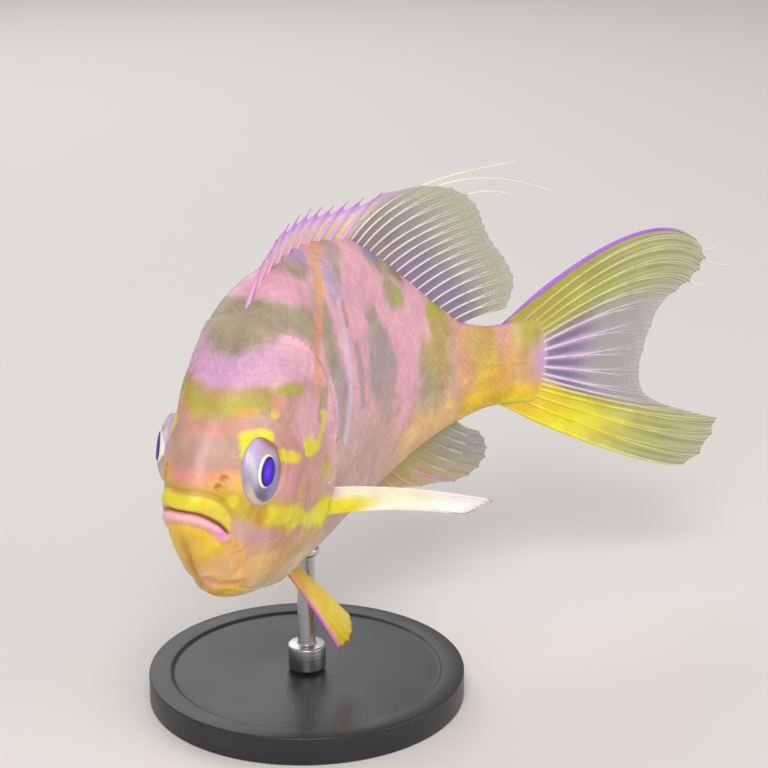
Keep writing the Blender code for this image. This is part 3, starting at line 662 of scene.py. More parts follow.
    def facing(self, s: float, z: float, side: float, forward: float, up: float, lift: float) -> Matrix:
        """Placement on the skin whose local Z looks out of the head and whose local Y is up."""
        turn = float(self.heading(s))
        ahead = Vector((-math.cos(turn), -math.sin(turn), 0.0))
        outward = Vector((-math.sin(turn), math.cos(turn), 0.0)) * side
        look = outward * math.cos(forward) + ahead * math.sin(forward)
        look = look * math.cos(up) + Vector((0.0, 0.0, math.sin(up)))
        centre = Vector(self.flank(s, z, side, 0.0)) + look * lift
        return Matrix.Translation(centre) @ look.to_track_quat("Z", "Y").to_matrix().to_4x4()

    def flank(self, s: float, z: float, side: float, lift: float) -> Array:
        """World place of the plain skin at s and height z, lifted off it sideways."""
        q = np.linspace(0.02, 0.98, 400)
        at = self.plain(np.full(q.shape, s), q, 1.0)
        y = np.interp(-z, -at[:, 2], at[:, 1])
        return self.place(s, side * (y + lift / self.length), z)


# Markings of the fish


@dataclass(frozen=True)
class Blotch:
    """A soft patch of colour."""

    at: tuple[float, float]
    reach: tuple[float, float]
    colour: Colour
    strength: float = 1.0
    lean: float = 0.0
    soft: float = 0.4
    ragged: float = 0.16

    def mask(self, s: Array, z: Array, uneven: Array) -> Array:
        """How strongly the patch covers each place.

        Args:
            s: places along the fish.
            z: heights over the axis.
            uneven: a smooth unevenness that frays the patch's edge.

        Returns:
            0 to strength for each place.
        """
        ds = (s - self.at[0] - self.lean * (z - self.at[1])) / self.reach[0]
        dz = (z - self.at[1]) / self.reach[1]
        edge = np.hypot(ds, dz) + self.ragged * uneven
        return self.strength * (1.0 - ease(edge, 1.0 - self.soft, 1.0 + self.soft))


@dataclass(frozen=True)
class Ribbon:
    """A soft band of colour along a line."""

    line: Pairs
    half: float
    colour: Colour
    strength: float = 1.0
    soft: float = 0.5
    ragged: float = 0.22

    def mask(self, s: Array, z: Array, uneven: Array) -> Array:
        """How strongly the band covers each place, as for a Blotch."""
        off, _ = line_distance(s, z, spread(self.line, 12))
        edge = off / self.half + self.ragged * uneven
        return self.strength * (1.0 - ease(edge, 1.0 - self.soft, 1.0 + self.soft))


@dataclass
class Markings:
    """The colours of head and body, painted in order from broad to fine."""

    form: BodyForm
    broad: Sequence[Blotch | Ribbon] = (
        Blotch((0.5, -0.12), (0.32, 0.1), Paint.BELLY_MAUVE, 0.85, soft=0.6),
        Blotch((0.45, -0.245), (0.42, 0.035), Paint.CREAM, 0.75, soft=0.7),
        Blotch((0.1, 0.1), (0.16, 0.07), Paint.DUSTY_PEACH, 0.95),
        Blotch((0.2, 0.185), (0.14, 0.04), Paint.ROSE, 0.9),
        Blotch((0.12, 0.2), (0.1, 0.05), Paint.LILAC, 0.6, soft=0.6),
        Blotch((0.215, 0.01), (0.085, 0.12), Paint.MAUVE_PINK, 0.85),
        Blotch((0.245, 0.08), (0.05, 0.04), Paint.ROSE, 0.8),
        Blotch((0.15, -0.09), (0.12, 0.026), Paint.MAUVE_PINK, 0.65),
        Blotch((0.16, -0.15), (0.16, 0.055), Paint.TAN, 0.85),
        Blotch((0.24, -0.19), (0.12, 0.04), Paint.CREAM, 0.8),
        Blotch((0.8, -0.06), (0.12, 0.06), Paint.PEACH, 0.75, soft=0.6),
        Blotch((0.73, -0.1), (0.12, 0.05), Paint.PEACH, 0.7, soft=0.6),
    )
    flank: Sequence[Blotch | Ribbon] = (
        Ribbon(((0.38, 0.228), (0.37, 0.171), (0.374, 0.127), (0.382, 0.09), (0.392, 0.04)), 0.031,
            Paint.GREY_MAUVE, 0.85),
        Ribbon(((0.385, 0.225), (0.366, 0.18), (0.362, 0.135)), 0.02, Paint.OLIVE_GREY, 0.75),
        Blotch((0.493, 0.296), (0.04, 0.018), Paint.GREY_MAUVE, 0.8),
        Blotch((0.447, 0.275), (0.026, 0.02), Paint.VIOLET_GREY, 0.7),
        Blotch((0.482, 0.262), (0.016, 0.022), Paint.OLIVE_GREY, 0.85),
        Blotch((0.44, 0.24), (0.022, 0.02), Paint.VIOLET_GREY, 0.6),
        Ribbon(((0.34, 0.12), (0.346, 0.101), (0.353, 0.065), (0.338, 0.03)), 0.008, Paint.PALE_LILAC,
            0.6),
        Ribbon(((0.446, 0.22), (0.43, 0.156), (0.428, 0.122), (0.425, 0.08), (0.41, 0.041),
                (0.395, 0.005)), 0.0105, Paint.PALE_LILAC, 0.75, 0.7, 0.4),
        Ribbon(((0.505, 0.25), (0.494, 0.231), (0.495, 0.182), (0.501, 0.138), (0.499, 0.086),
                (0.489, 0.04)), 0.019, Paint.BRIGHT_PINK, 0.95),
        Ribbon(((0.456, 0.215), (0.452, 0.185)), 0.008, Paint.BURNT_ORANGE, 0.7),
        Ribbon(((0.474, 0.14), (0.477, 0.093), (0.479, 0.04)), 0.011, Paint.GREY_MAUVE, 0.85),
        Blotch((0.555, 0.195), (0.028, 0.04), Paint.GREY_MAUVE, 0.95, -0.1, 0.3),
        Blotch((0.575, 0.082), (0.056, 0.1), Paint.GREY_MAUVE, 1.0, -0.15, 0.28),
        Blotch((0.562, 0.16), (0.02, 0.04), Paint.OLIVE_GREY, 0.55, -0.15),
        Blotch((0.59, 0.0), (0.05, 0.06), Paint.BELLY_MAUVE, 0.5, 0.0, 0.6),
        Ribbon(((0.592, 0.29), (0.572, 0.27), (0.56, 0.24), (0.548, 0.215)), 0.028, Paint.BRIGHT_PINK,
            1.0),
        Ribbon(((0.575, 0.23), (0.588, 0.195), (0.606, 0.16), (0.632, 0.13)), 0.013, Paint.BRIGHT_PINK,
            1.0),
        Blotch((0.652, 0.19), (0.034, 0.03), Paint.OLIVE_GREY, 0.95, -0.3),
        Blotch((0.664, 0.18), (0.02, 0.02), Paint.OLIVE, 0.55, -0.3),
        Ribbon(((0.612, 0.262), (0.64, 0.245), (0.672, 0.23), (0.702, 0.208)), 0.018, Paint.OLIVE_GREY,
            0.95),
        Ribbon(((0.676, 0.226), (0.704, 0.206)), 0.011, Paint.UMBER, 0.7),
        Blotch((0.642, 0.266), (0.036, 0.018), Paint.BLUE_VIOLET, 0.75, -0.5),
        Blotch((0.667, 0.126), (0.052, 0.036), Paint.BRIGHT_PINK, 1.0, -0.1, 0.3, 0.3),
        Blotch((0.728, 0.172), (0.022, 0.036), Paint.BRIGHT_PINK, 0.95, -0.5),
        Ribbon(((0.668, 0.1), (0.667, 0.063), (0.668, 0.0), (0.655, -0.035)), 0.021, Paint.BRIGHT_PINK,
            1.0),
        Blotch((0.78, 0.112), (0.034, 0.036), Paint.KHAKI, 0.95, -0.3, 0.25),
        Blotch((0.757, 0.052), (0.048, 0.052), Paint.KHAKI, 0.95, -0.1, 0.3, 0.25),
        Blotch((0.742, -0.005), (0.046, 0.036), Paint.OLIVE_GREY, 0.65, 0.0, 0.6),
        Blotch((0.778, 0.134), (0.024, 0.014), Paint.OLIVE, 0.9, -0.4),
        Blotch((0.726, 0.04), (0.02, 0.05), Paint.OLIVE_GREY, 0.5),
        Ribbon(((0.818, 0.1), (0.809, 0.041), (0.809, -0.03)), 0.005, Paint.VIOLET_GREY, 0.5, 0.8),
        Ribbon(((0.838, 0.085), (0.838, 0.06), (0.838, 0.0), (0.838, -0.045)), 0.019, Paint.PINK_ORANGE,
            0.8),
        Blotch((0.888, 0.05), (0.036, 0.055), Paint.STRAW, 0.9, soft=0.7),
        Blotch((0.895, -0.02), (0.04, 0.04), Paint.GOLD, 0.75, soft=0.7),
        Blotch((0.952, 0.062), (0.024, 0.034), Paint.ROSE, 0.75, soft=0.8),
        Ribbon(((0.95, 0.085), (0.947, 0.06)), 0.017, Paint.PINK_ORANGE, 0.5, 0.7),
        Ribbon(((0.946, 0.045), (0.942, 0.01), (0.933, -0.035)), 0.014, Paint.ORANGE, 0.6, 0.8),
        Blotch((1.008, 0.064), (0.05, 0.042), Paint.OLIVE, 0.95, soft=0.7),
        Blotch((0.99, 0.005), (0.026, 0.034), Paint.STRAW, 0.6, soft=0.7),
        Blotch((1.044, -0.006), (0.044, 0.046), Paint.LILAC, 0.95, soft=0.7),
        Blotch((1.025, -0.072), (0.06, 0.032), Paint.GOLD, 0.9, soft=0.6),
        Ribbon(((0.855, -0.06), (0.918, -0.064), (1.02, -0.075)), 0.024, Paint.GOLD, 0.95),
        Ribbon(((0.94, -0.08), (1.02, -0.085)), 0.016, Paint.YELLOW, 0.9),
        Ribbon(((0.85, 0.098), (0.92, 0.084), (0.96, 0.086)), 0.007, Paint.VIOLET, 0.8),
    )
    nape: Sequence[Blotch | Ribbon] = (
        Ribbon(((0.165, 0.232), (0.21, 0.24), (0.25, 0.244), (0.275, 0.238), (0.312, 0.218)), 0.027,
            Paint.OLIVE_GREY, 0.95, 0.32),
        Blotch((0.205, 0.268), (0.026, 0.016), Paint.BLUE_VIOLET, 0.7),
        Blotch((0.3, 0.284), (0.045, 0.02), Paint.BRIGHT_PINK, 0.9),
        Blotch((0.372, 0.294), (0.034, 0.018), Paint.OLIVE_GREY, 0.85),
        Blotch((0.405, 0.306), (0.026, 0.01), Paint.VIOLET_GREY, 0.8),
        Ribbon(((0.478, 0.312), (0.43, 0.292), (0.402, 0.262), (0.362, 0.228), (0.318, 0.187),
                (0.292, 0.145), (0.29, 0.11)), 0.012, Paint.PINK_ORANGE, 0.9, 0.6),
        Blotch((0.396, 0.256), (0.012, 0.014), Paint.ORANGE, 0.8),
        Ribbon(((0.06, 0.136), (0.095, 0.143), (0.135, 0.146), (0.16, 0.144)), 0.018, Paint.KHAKI, 0.95,
            0.4),
        Ribbon(((0.1, 0.138), (0.125, 0.136), (0.155, 0.138)), 0.011, Paint.OLIVE, 0.7, 0.6),
        Ribbon(((0.186, 0.148), (0.205, 0.144), (0.226, 0.139)), 0.011, Paint.OLIVE, 0.9),
        Blotch((0.118, 0.128), (0.016, 0.008), Paint.ORANGE, 0.55),
        Blotch((0.161, 0.116), (0.009, 0.008), Paint.YELLOW, 0.8),
        Ribbon(((0.308, 0.108), (0.298, 0.088), (0.288, 0.076)), 0.012, Paint.OLIVE_GREY, 0.85),
        Blotch((0.175, 0.128), (0.016, 0.016), Paint.SALMON, 0.65),
        Blotch((0.075, 0.112), (0.045, 0.012), Paint.SALMON, 0.35),
    )
    face: Sequence[Blotch | Ribbon] = (
        Blotch((0.018, 0.045), (0.03, 0.014), Paint.SALMON, 0.55, soft=0.6),
        Blotch((0.05, 0.034), (0.024, 0.022), Paint.ORANGE, 0.75),
        Blotch((0.07, 0.022), (0.014, 0.026), Paint.GOLD, 0.7),
        Ribbon(((-0.01, 0.024), (0.02, 0.022), (0.045, 0.012), (0.068, -0.004), (0.08, -0.014)), 0.018,
            Paint.MUSTARD, 0.75),
        Ribbon(((0.045, 0.004), (0.078, -0.014), (0.12, -0.034), (0.165, -0.052), (0.21, -0.074),
                (0.255, -0.09), (0.3, -0.098)), 0.021, Paint.MUSTARD, 0.85, 0.4, 0.4),
        Ribbon(((0.125, -0.038), (0.15, -0.048), (0.178, -0.052)), 0.012, Paint.YELLOW, 0.9, 0.5, 0.5),
        Ribbon(((0.19, -0.068), (0.22, -0.078), (0.26, -0.092), (0.31, -0.1)), 0.016, Paint.YELLOW, 0.95,
            0.5, 0.45),
        Blotch((0.056, 0.004), (0.014, 0.012), Paint.YELLOW, 0.7, ragged=0.4),
        Blotch((0.09, -0.022), (0.014, 0.014), Paint.GOLD_SHADE, 0.6, ragged=0.4),
        Blotch((0.114, -0.036), (0.012, 0.015), Paint.GOLD_SHADE, 0.8, ragged=0.4),
        Blotch((0.325, -0.1), (0.034, 0.026), Paint.YELLOW, 0.9),
        Ribbon(((0.086, 0.07), (0.094, 0.086), (0.11, 0.0945), (0.128, 0.0935), (0.14, 0.086)), 0.0085,
            Paint.YELLOW, 1.0, 0.45, 0.1),
        Blotch((0.099, 0.094), (0.012, 0.01), Paint.YELLOW, 0.9),
        Ribbon(((0.16, 0.05), (0.178, 0.042), (0.195, 0.036)), 0.0095, Paint.YELLOW, 0.95, 0.4, 0.4),
        Ribbon(((0.222, 0.04), (0.246, 0.032), (0.268, 0.032), (0.286, 0.044), (0.294, 0.06),
                (0.296, 0.076)), 0.0095, Paint.YELLOW, 0.95, 0.35, 0.4),
        Blotch((0.236, 0.04), (0.016, 0.014), Paint.YELLOW, 0.8, ragged=0.4),
        Blotch((0.303, -0.015), (0.012, 0.022), Paint.MUSTARD, 0.9),
        Blotch((0.199, -0.022), (0.007, 0.016), Paint.MUSTARD, 0.8),
        Blotch((0.225, -0.112), (0.01, 0.012), Paint.ORANGE, 0.55),
    )
    jaw: Sequence[Blotch | Ribbon] = (
        Blotch((0.028, -0.08), (0.04, 0.036), Paint.GOLD, 0.85),
        Blotch((0.06, -0.106), (0.028, 0.028), Paint.PEACH, 0.7),
        Ribbon(((0.062, -0.066), (0.076, -0.085), (0.092, -0.11), (0.1, -0.134)), 0.009, Paint.ORANGE,
            0.6),
        Blotch((0.085, -0.18), (0.055, 0.022), Paint.GOLD, 0.7),
        Ribbon(((0.05, -0.13), (0.072, -0.146), (0.096, -0.154), (0.125, -0.16)), 0.0045, Paint.SALMON,
            0.5),
        Blotch((0.14, -0.13), (0.04, 0.022), Paint.PEACH, 0.6),
    )
    grain: Waviness = field(default_factory=lambda: Waviness(11, 55.0))
    fine: Waviness = field(default_factory=lambda: Waviness(23, 160.0))

    def base(self, s: Array, z: Array) -> Array:
        """The ground colour, from pink on the back to mauve and peach below."""
        ground = linear(Paint.ROSE) + np.zeros((*np.shape(s), 3))
        for shade, amount in (
                (Paint.BELLY_MAUVE, 0.85 * ease(-z, -0.1, 0.06)),
                (Paint.PEACH, 0.75 * ease(-z, 0.1, 0.2)),
                (Paint.TAN, 0.8 * ease(s, 0.7, 0.86)),
        ):
            ground = ground + (linear(shade) - ground) * amount[..., None]
        return ground

    def colour(self, at: Array) -> Array:
        """Colours of skin or scales at places on the fish.

        Args:
            at: (s, y, z) along the last axis.

        Returns:
            Linear colours along the last axis.
        """
        s, y, z = at[..., 0], at[..., 1], at[..., 2]
        both = np.stack([s, np.abs(y), z], axis=-1)
        uneven = 0.7 * self.grain.at(both) + 0.45 * self.fine.at(both)
        colours = self.base(s, z)
        for marks in (self.broad, self.flank, self.nape, self.face, self.jaw):
            for mark in marks:
                share = mark.mask(s, z, uneven)[..., None]
                colours = colours + (linear(mark.colour) - colours) * share
        return self.mouth(colours, s, np.abs(y), z)

    def mouth(self, colours: Array, s: Array, y: Array, z: Array) -> Array:
        """Paint the lips, and painted shade in the slit between them, in the chin groove, in the lip
        creases and in the nostril pits.
        """
        above = self.form.mouth_distance(s, z)
        front = 1.0 - ease(s, 0.044, 0.06)
        # the chin mask carries painted shade along the groove under the chin
        chin = ease(-above, 0.018, 0.03) * (1.0 - ease(s, 0.055, 0.075)) * bump(y, 0.01)
        pits = np.zeros(np.shape(s))
        for at, height in self.form.nostrils:
            pits = np.maximum(pits, bump(np.hypot(s - at, z - height), 0.0052))
        for shade, amount in (
                # painted shade along the chin groove
                (Paint.GOLD_SHADE, 0.9 * chin),
                (Paint.YELLOW, 0.85 * front * ease(above, 0.0015, 0.005)
                    * (1.0 - ease(above, 0.024, 0.031))),
                # painted shade in the crease above the upper lip
                (Paint.GOLD_SHADE, 0.45 * front * bump(above - 0.033, 0.004)),
                # painted shadow under the overhanging upper lip, just above the slit
                (Paint.GOLD_SHADE, 0.7 * front * ease(above, 0.0, 0.002)
                    * (1.0 - ease(above, 0.003, 0.009))),
                (Paint.GOLD, 0.9 * front * ease(-above, 0.012, 0.018)
                    * (1.0 - ease(-above, 0.026, 0.04))),
                (Paint.LIP_PINK, front * ease(-above, 0.0005, 0.003)
                    * (1.0 - ease(-above, 0.012, 0.0165))),
                (Paint.MAGENTA, 0.9 * bump(np.hypot(s - 0.039, (z + 0.041) * 0.9), 0.0095)
                    * ease(-above, 0.001, 0.004)),
                # painted shade in the slit between the lips
                (Paint.SLIT_SHADE, 0.9 * (1.0 - ease(s, 0.046, 0.056)) * bump(above - 0.0004, 0.0026)),
                # painted shade in the nostril pits
                (Paint.SHADE_BROWN, 0.55 * pits),
        ):
            colours = colours + (linear(shade) - colours) * amount[..., None]
        return colours


# Finishes


class Nodes:
    """A small helper that adds and joins shader nodes."""

    def __init__(self, tree: bpy.types.NodeTree) -> None:
        """Keep the tree that the nodes go in."""
        self.tree = tree

    def add(self, kind: str, **values: object) -> bpy.types.Node:
        """A new node, with its own settings given by name."""
        node = self.tree.nodes.new(kind)
        for name, value in values.items():
            setattr(node, name, value)
        return node

    def join(self, source: bpy.types.NodeSocket, target: bpy.types.NodeSocket) -> None:
        """Join an output to an input."""
        self.tree.links.new(source, target)

    def math(self, operation: str, first: object, second: object = 0.0) -> bpy.types.NodeSocket:
        """A math node on two sockets or numbers.

        Args:
            operation: the node's operation.
            first: a socket or a number.
            second: a socket or a number.

        Returns:
            The result's socket.
        """
        node = self.add("ShaderNodeMath", operation=operation)
        for slot, value in enumerate((first, second)):
            if isinstance(value, bpy.types.NodeSocket):
                self.join(value, node.inputs[slot])
            else:
                node.inputs[slot].default_value = value
        return node.outputs[0]

    def mix(self, share: object, first: object, second: object,
            blend: str = "MIX") -> bpy.types.NodeSocket:
        """A colour mix.

        Args:
            share: a socket or a number.
            first: a colour socket.
            second: a colour socket or a colour.
            blend: the node's blend type.

        Returns:
            The result's socket.
        """
        node = self.add("ShaderNodeMix", data_type="RGBA", blend_type=blend)
        for slot, value in ((0, share), (6, first), (7, second)):
            if isinstance(value, bpy.types.NodeSocket):
                self.join(value, node.inputs[slot])
            else:
                node.inputs[slot].default_value = value
        return node.outputs[2]


class FleshGrain:
    """Shared effect: fine mottling of live skin, in colour, roughness and height."""

    name = "flesh_grain"

    def group(self) -> bpy.types.NodeTree:
        """The shader group, built once.

        Returns:
            The group with inputs Tint, Scale and Amount and outputs Colour, Roughness and Height.
        """
        made = bpy.data.node_groups.get(self.name)
        if made:
            return made
        tree = bpy.data.node_groups.new(self.name, "ShaderNodeTree")
        for label, kind, start in (("Tint", "NodeSocketColor", None), ("Scale", "NodeSocketFloat", 1.0),
                ("Amount", "NodeSocketFloat", 1.0)):
            socket = tree.interface.new_socket(name=label, in_out="INPUT", socket_type=kind)
            if start is not None:
                socket.default_value = start
        for label, kind in (("Colour", "NodeSocketColor"), ("Roughness", "NodeSocketFloat"),
                ("Height", "NodeSocketFloat")):
            tree.interface.new_socket(name=label, in_out="OUTPUT", socket_type=kind)
        n = Nodes(tree)
        start = n.add("NodeGroupInput")
        end = n.add("NodeGroupOutput")
        place = n.add("ShaderNodeTexCoord")
        broad = n.add("ShaderNodeTexNoise")
        n.join(place.outputs["Object"], broad.inputs["Vector"])
        n.join(n.math("MULTIPLY", start.outputs["Scale"], 260.0), broad.inputs["Scale"])
        broad.inputs["Detail"].default_value = 4.0
        dots = n.add("ShaderNodeTexVoronoi")
        n.join(place.outputs["Object"], dots.inputs["Vector"])
        n.join(n.math("MULTIPLY", start.outputs["Scale"], 3200.0), dots.inputs["Scale"])
        fine = n.add("ShaderNodeTexNoise")
        n.join(place.outputs["Object"], fine.inputs["Vector"])
        n.join(n.math("MULTIPLY", start.outputs["Scale"], 1800.0), fine.inputs["Scale"])
        fine.inputs["Detail"].default_value = 3.0
        swing = n.math("SUBTRACT", broad.outputs["Fac"], 0.5)
        speck = n.math("SUBTRACT", dots.outputs["Distance"], 0.42)
        value = n.math("ADD", n.math("MULTIPLY", swing, 0.55), n.math("MULTIPLY", speck, 0.1))
        value = n.math("ADD", n.math("MULTIPLY", value, start.outputs["Amount"]), 1.0)
        shade = n.add("ShaderNodeHueSaturation")
        n.join(value, shade.inputs["Value"])
        n.join(n.math("ADD", n.math("MULTIPLY", swing, 0.06), 0.5), shade.inputs["Hue"])
        n.join(start.outputs["Tint"], shade.inputs["Color"])
        n.join(shade.outputs["Color"], end.inputs["Colour"])
        n.join(n.math("ADD", n.math("MULTIPLY", fine.outputs["Fac"], 0.22), 0.3), end.inputs["Roughness"])
        n.join(fine.outputs["Fac"], end.inputs["Height"])
        return tree


@dataclass(frozen=True)
class LiveFinish:
    """Moist skin, scale or fin: the piece's tint under fine mottling and a thin wet coat."""

    name: str
    grain: float = 1.0
    mottle: float = 1.0
    coat: float = 0.15
    coat_roughness: float = 0.28
    glow: float = 0.12
    bump: float = 0.00003
    clear: bool = False
    ridges: str = ""
    ridge_height: float = 0.00004

    def material(self) -> bpy.types.Material:
        """The finish as a material.

        Returns:
            The new material, which reads tint, and clear or ridges where it has them.
        """
        made = bpy.data.materials.new(self.name)
        made.use_nodes = True
        n = Nodes(made.node_tree)
        shader = made.node_tree.nodes["Principled BSDF"]
        tint = n.add("ShaderNodeAttribute", attribute_name="tint")
        grain = n.add("ShaderNodeGroup", node_tree=FleshGrain().group())
        n.join(tint.outputs["Color"], grain.inputs["Tint"])
        grain.inputs["Scale"].default_value = self.grain
        grain.inputs["Amount"].default_value = self.mottle
        n.join(grain.outputs["Colour"], shader.inputs["Base Color"])
        n.join(grain.outputs["Roughness"], shader.inputs["Roughness"])
        height = n.add("ShaderNodeBump")
        height.inputs["Distance"].default_value = self.bump
        n.join(grain.outputs["Height"], height.inputs["Height"])
        normal = height.outputs["Normal"]
        if self.ridges:
            line = n.add("ShaderNodeAttribute", attribute_name=self.ridges)
            wave = n.math("SINE", n.math("MULTIPLY", line.outputs["Fac"], 2.0 * math.pi))
            ridge = n.add("ShaderNodeBump")
            ridge.inputs["Distance"].default_value = self.ridge_height
            n.join(wave, ridge.inputs["Height"])
            n.join(normal, ridge.inputs["Normal"])
            normal = ridge.outputs["Normal"]
        n.join(normal, shader.inputs["Normal"])
        shader.inputs["Coat Weight"].default_value = self.coat
        shader.inputs["Coat Roughness"].default_value = self.coat_roughness
        shader.inputs["Subsurface Weight"].default_value = self.glow
        shader.inputs["Subsurface Radius"].default_value = (1.0, 0.5, 0.4)
        shader.inputs["Subsurface Scale"].default_value = 0.0012
        if self.clear:
            see = n.add("ShaderNodeAttribute", attribute_name="clear")
            n.join(see.outputs["Fac"], shader.inputs["Alpha"])
        return made


@dataclass(frozen=True)
class EyeFinish:
    """The wet surface of the eye over its painted iris."""

    name: str = "eye_wet"

    def material(self) -> bpy.types.Material:
        """The finish as a material."""
        made = bpy.data.materials.new(self.name)
        made.use_nodes = True
        n = Nodes(made.node_tree)
        shader = made.node_tree.nodes["Principled BSDF"]
        tint = n.add("ShaderNodeAttribute", attribute_name="tint")
        place = n.add("ShaderNodeTexCoord")
        fleck = n.add("ShaderNodeTexNoise")
        fleck.inputs["Scale"].default_value = 2600.0
        fleck.inputs["Detail"].default_value = 3.0
        n.join(place.outputs["Object"], fleck.inputs["Vector"])
        shade = n.add("ShaderNodeHueSaturation")
        n.join(n.math("ADD", n.math("MULTIPLY", fleck.outputs["Fac"], 0.16), 0.92), shade.inputs["Value"])
        n.join(tint.outputs["Color"], shade.inputs["Color"])
        n.join(shade.outputs["Color"], shader.inputs["Base Color"])
        n.join(n.math("ADD", n.math("MULTIPLY", fleck.outputs["Fac"], 0.2), 0.3),
            shader.inputs["Roughness"])
        shader.inputs["Coat Weight"].default_value = 0.35
        shader.inputs["Coat Roughness"].default_value = 0.06
        shader.inputs["Specular IOR Level"].default_value = 0.1
        return made


@dataclass(frozen=True)
class StandPaint:
    """Satin black paint with faint dust."""

    name: str = "stand_satin_black"
    colour: Colour = (30, 30, 33)

    def material(self) -> bpy.types.Material:
        """The finish as a material."""
        made = bpy.data.materials.new(self.name)
        made.use_nodes = True
        n = Nodes(made.node_tree)
        shader = made.node_tree.nodes["Principled BSDF"]
        place = n.add("ShaderNodeTexCoord")
        cloud = n.add("ShaderNodeTexNoise")
        cloud.inputs["Scale"].default_value = 90.0
        cloud.inputs["Detail"].default_value = 6.0
        grit = n.add("ShaderNodeTexNoise")
        grit.inputs["Scale"].default_value = 2400.0
        for node in (cloud, grit):
            n.join(place.outputs["Object"], node.inputs["Vector"])
        dark = (*linear(self.colour), 1.0)
        pale = (*linear((66, 65, 66)), 1.0)
        ground = n.add("ShaderNodeRGB")
        ground.outputs[0].default_value = dark
        share = n.math("MULTIPLY", n.math("POWER", cloud.outputs["Fac"], 3.0), 0.9)
        n.join(n.mix(share, ground.outputs[0], pale), shader.inputs["Base Color"])
        n.join(n.math("ADD", n.math("MULTIPLY", cloud.outputs["Fac"], 0.25), 0.26),
            shader.inputs["Roughness"])
        height = n.add("ShaderNodeBump")
        height.inputs["Distance"].default_value = 0.00002
        n.join(grit.outputs["Fac"], height.inputs["Height"])
        n.join(height.outputs["Normal"], shader.inputs["Normal"])
        return made


@dataclass(frozen=True)
class BrushedSteel:
    """Steel with fine marks round the rod."""

    name: str = "stand_brushed_steel"
    stretch: tuple[float, float, float] = (120.0, 120.0, 5200.0)

    def material(self) -> bpy.types.Material:
        """The finish as a material."""
        made = bpy.data.materials.new(self.name)
        made.use_nodes = True
        n = Nodes(made.node_tree)
        shader = made.node_tree.nodes["Principled BSDF"]
        place = n.add("ShaderNodeTexCoord")
        turn = n.add("ShaderNodeMapping")
        turn.inputs["Scale"].default_value = self.stretch
        n.join(place.outputs["Object"], turn.inputs["Vector"])
        marks = n.add("ShaderNodeTexNoise")
        marks.inputs["Scale"].default_value = 1.0
        marks.inputs["Detail"].default_value = 5.0
        n.join(turn.outputs["Vector"], marks.inputs["Vector"])
        ground = n.add("ShaderNodeRGB")
        ground.outputs[0].default_value = (0.42, 0.42, 0.44, 1.0)
        n.join(n.mix(marks.outputs["Fac"], ground.outputs[0], (0.66, 0.66, 0.68, 1.0)),
            shader.inputs["Base Color"])
        n.join(n.math("ADD", n.math("MULTIPLY", marks.outputs["Fac"], 0.22), 0.2),
            shader.inputs["Roughness"])
        shader.inputs["Metallic"].default_value = 1.0
        height = n.add("ShaderNodeBump")
        height.inputs["Distance"].default_value = 0.00001
        n.join(marks.outputs["Fac"], height.inputs["Height"])
        n.join(height.outputs["Normal"], shader.inputs["Normal"])
        return made


@dataclass(frozen=True)
class StudioPaper:
    """The pale sheet under and behind the model."""

    name: str = "studio_paper"
    colour: Colour = (226, 222, 217)

    def material(self) -> bpy.types.Material:
        """The finish as a material."""
        made = bpy.data.materials.new(self.name)
        made.use_nodes = True
        n = Nodes(made.node_tree)
        shader = made.node_tree.nodes["Principled BSDF"]
        place = n.add("ShaderNodeTexCoord")
        fibre = n.add("ShaderNodeTexNoise")
        fibre.inputs["Scale"].default_value = 900.0
        n.join(place.outputs["Object"], fibre.inputs["Vector"])
        ground = n.add("ShaderNodeRGB")
        ground.outputs[0].default_value = (*linear(self.colour), 1.0)
        n.join(n.mix(n.math("MULTIPLY", fibre.outputs["Fac"], 0.1), ground.outputs[0],
                (*linear((205, 200, 196)), 1.0)), shader.inputs["Base Color"])
        shader.inputs["Roughness"].default_value = 0.85
        return made


# Skin and scales


@dataclass
class Skin:
    """One skin over head, trunk and stalk, with lips, nostrils, eye rims, cheeks and gill flaps."""

    form: BodyForm
    markings: Markings
    head_rows: int = 130
    trunk_rows: int = 112
    end_rows: int = 14
    snout_crowd: float = 1.6
    depth: float = 0.00008

    def build(self) -> bpy.types.Object:
        """Draw a grid round the fish, close its seam and ends and paint it.

        Returns:
            The skin.
        """
        down = np.arange(self.form.columns + 1) / self.form.columns
        q = np.concatenate([down, down[-2::-1]])
        side = np.concatenate([np.full(len(down), LEFT), np.full(len(down) - 1, RIGHT)])
        edge = through(self.form.gill_edge, q)
        head = (np.arange(1, self.head_rows + 1) / self.head_rows) ** self.snout_crowd
        trunk = np.linspace(0.0006, 1.0, self.trunk_rows)
        end = np.linspace(0.0, 1.0, self.end_rows + 1)[1:]
        s = np.concatenate([head[:, None] * edge[None, :],
                edge[None, :] + trunk[:, None] * (1.0 - edge)[None, :],
                1.0 + end[:, None] * self.form.stalk_room(q)[None, :],
            ])
        q = np.broadcast_to(q, s.shape)
        inset = self.depth * (1.0 - ease(s, 0.985, 1.005))
        points, at = self.form.skin(s, q, np.broadcast_to(side, s.shape), -inset)
        snout = np.broadcast_to(self.form.place(0.008, 0.0, -0.002), points[:1].shape)
        rear = np.broadcast_to(points[-1].mean(axis=0), points[:1].shape)
        at = np.concatenate([np.broadcast_to((0.0, 0.0, -0.0018), at[:1].shape), at, at[-1:]])
        skin = grid_piece("fish_skin", np.concatenate([snout, points, rear]))
        set_tint(skin.data, self.markings.colour(at).reshape(-1, 3))
        pick(skin)
        bpy.ops.object.mode_set(mode="EDIT")
        bpy.ops.mesh.select_all(action="SELECT")
        bpy.ops.mesh.remove_doubles(threshold=0.000002)
        bpy.ops.mesh.normals_make_consistent(inside=False)
        bpy.ops.object.mode_set(mode="OBJECT")
        finish_piece(skin, LiveFinish("skin_moist").material(), "flank_skin")
        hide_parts("head", "torso", "tail")
        return skin


class ScaleRegion(Enum):
    """Where a coat of scales lies."""

    LEFT_FLANK = "left"
    RIGHT_FLANK = "right"
    HEAD = "head"


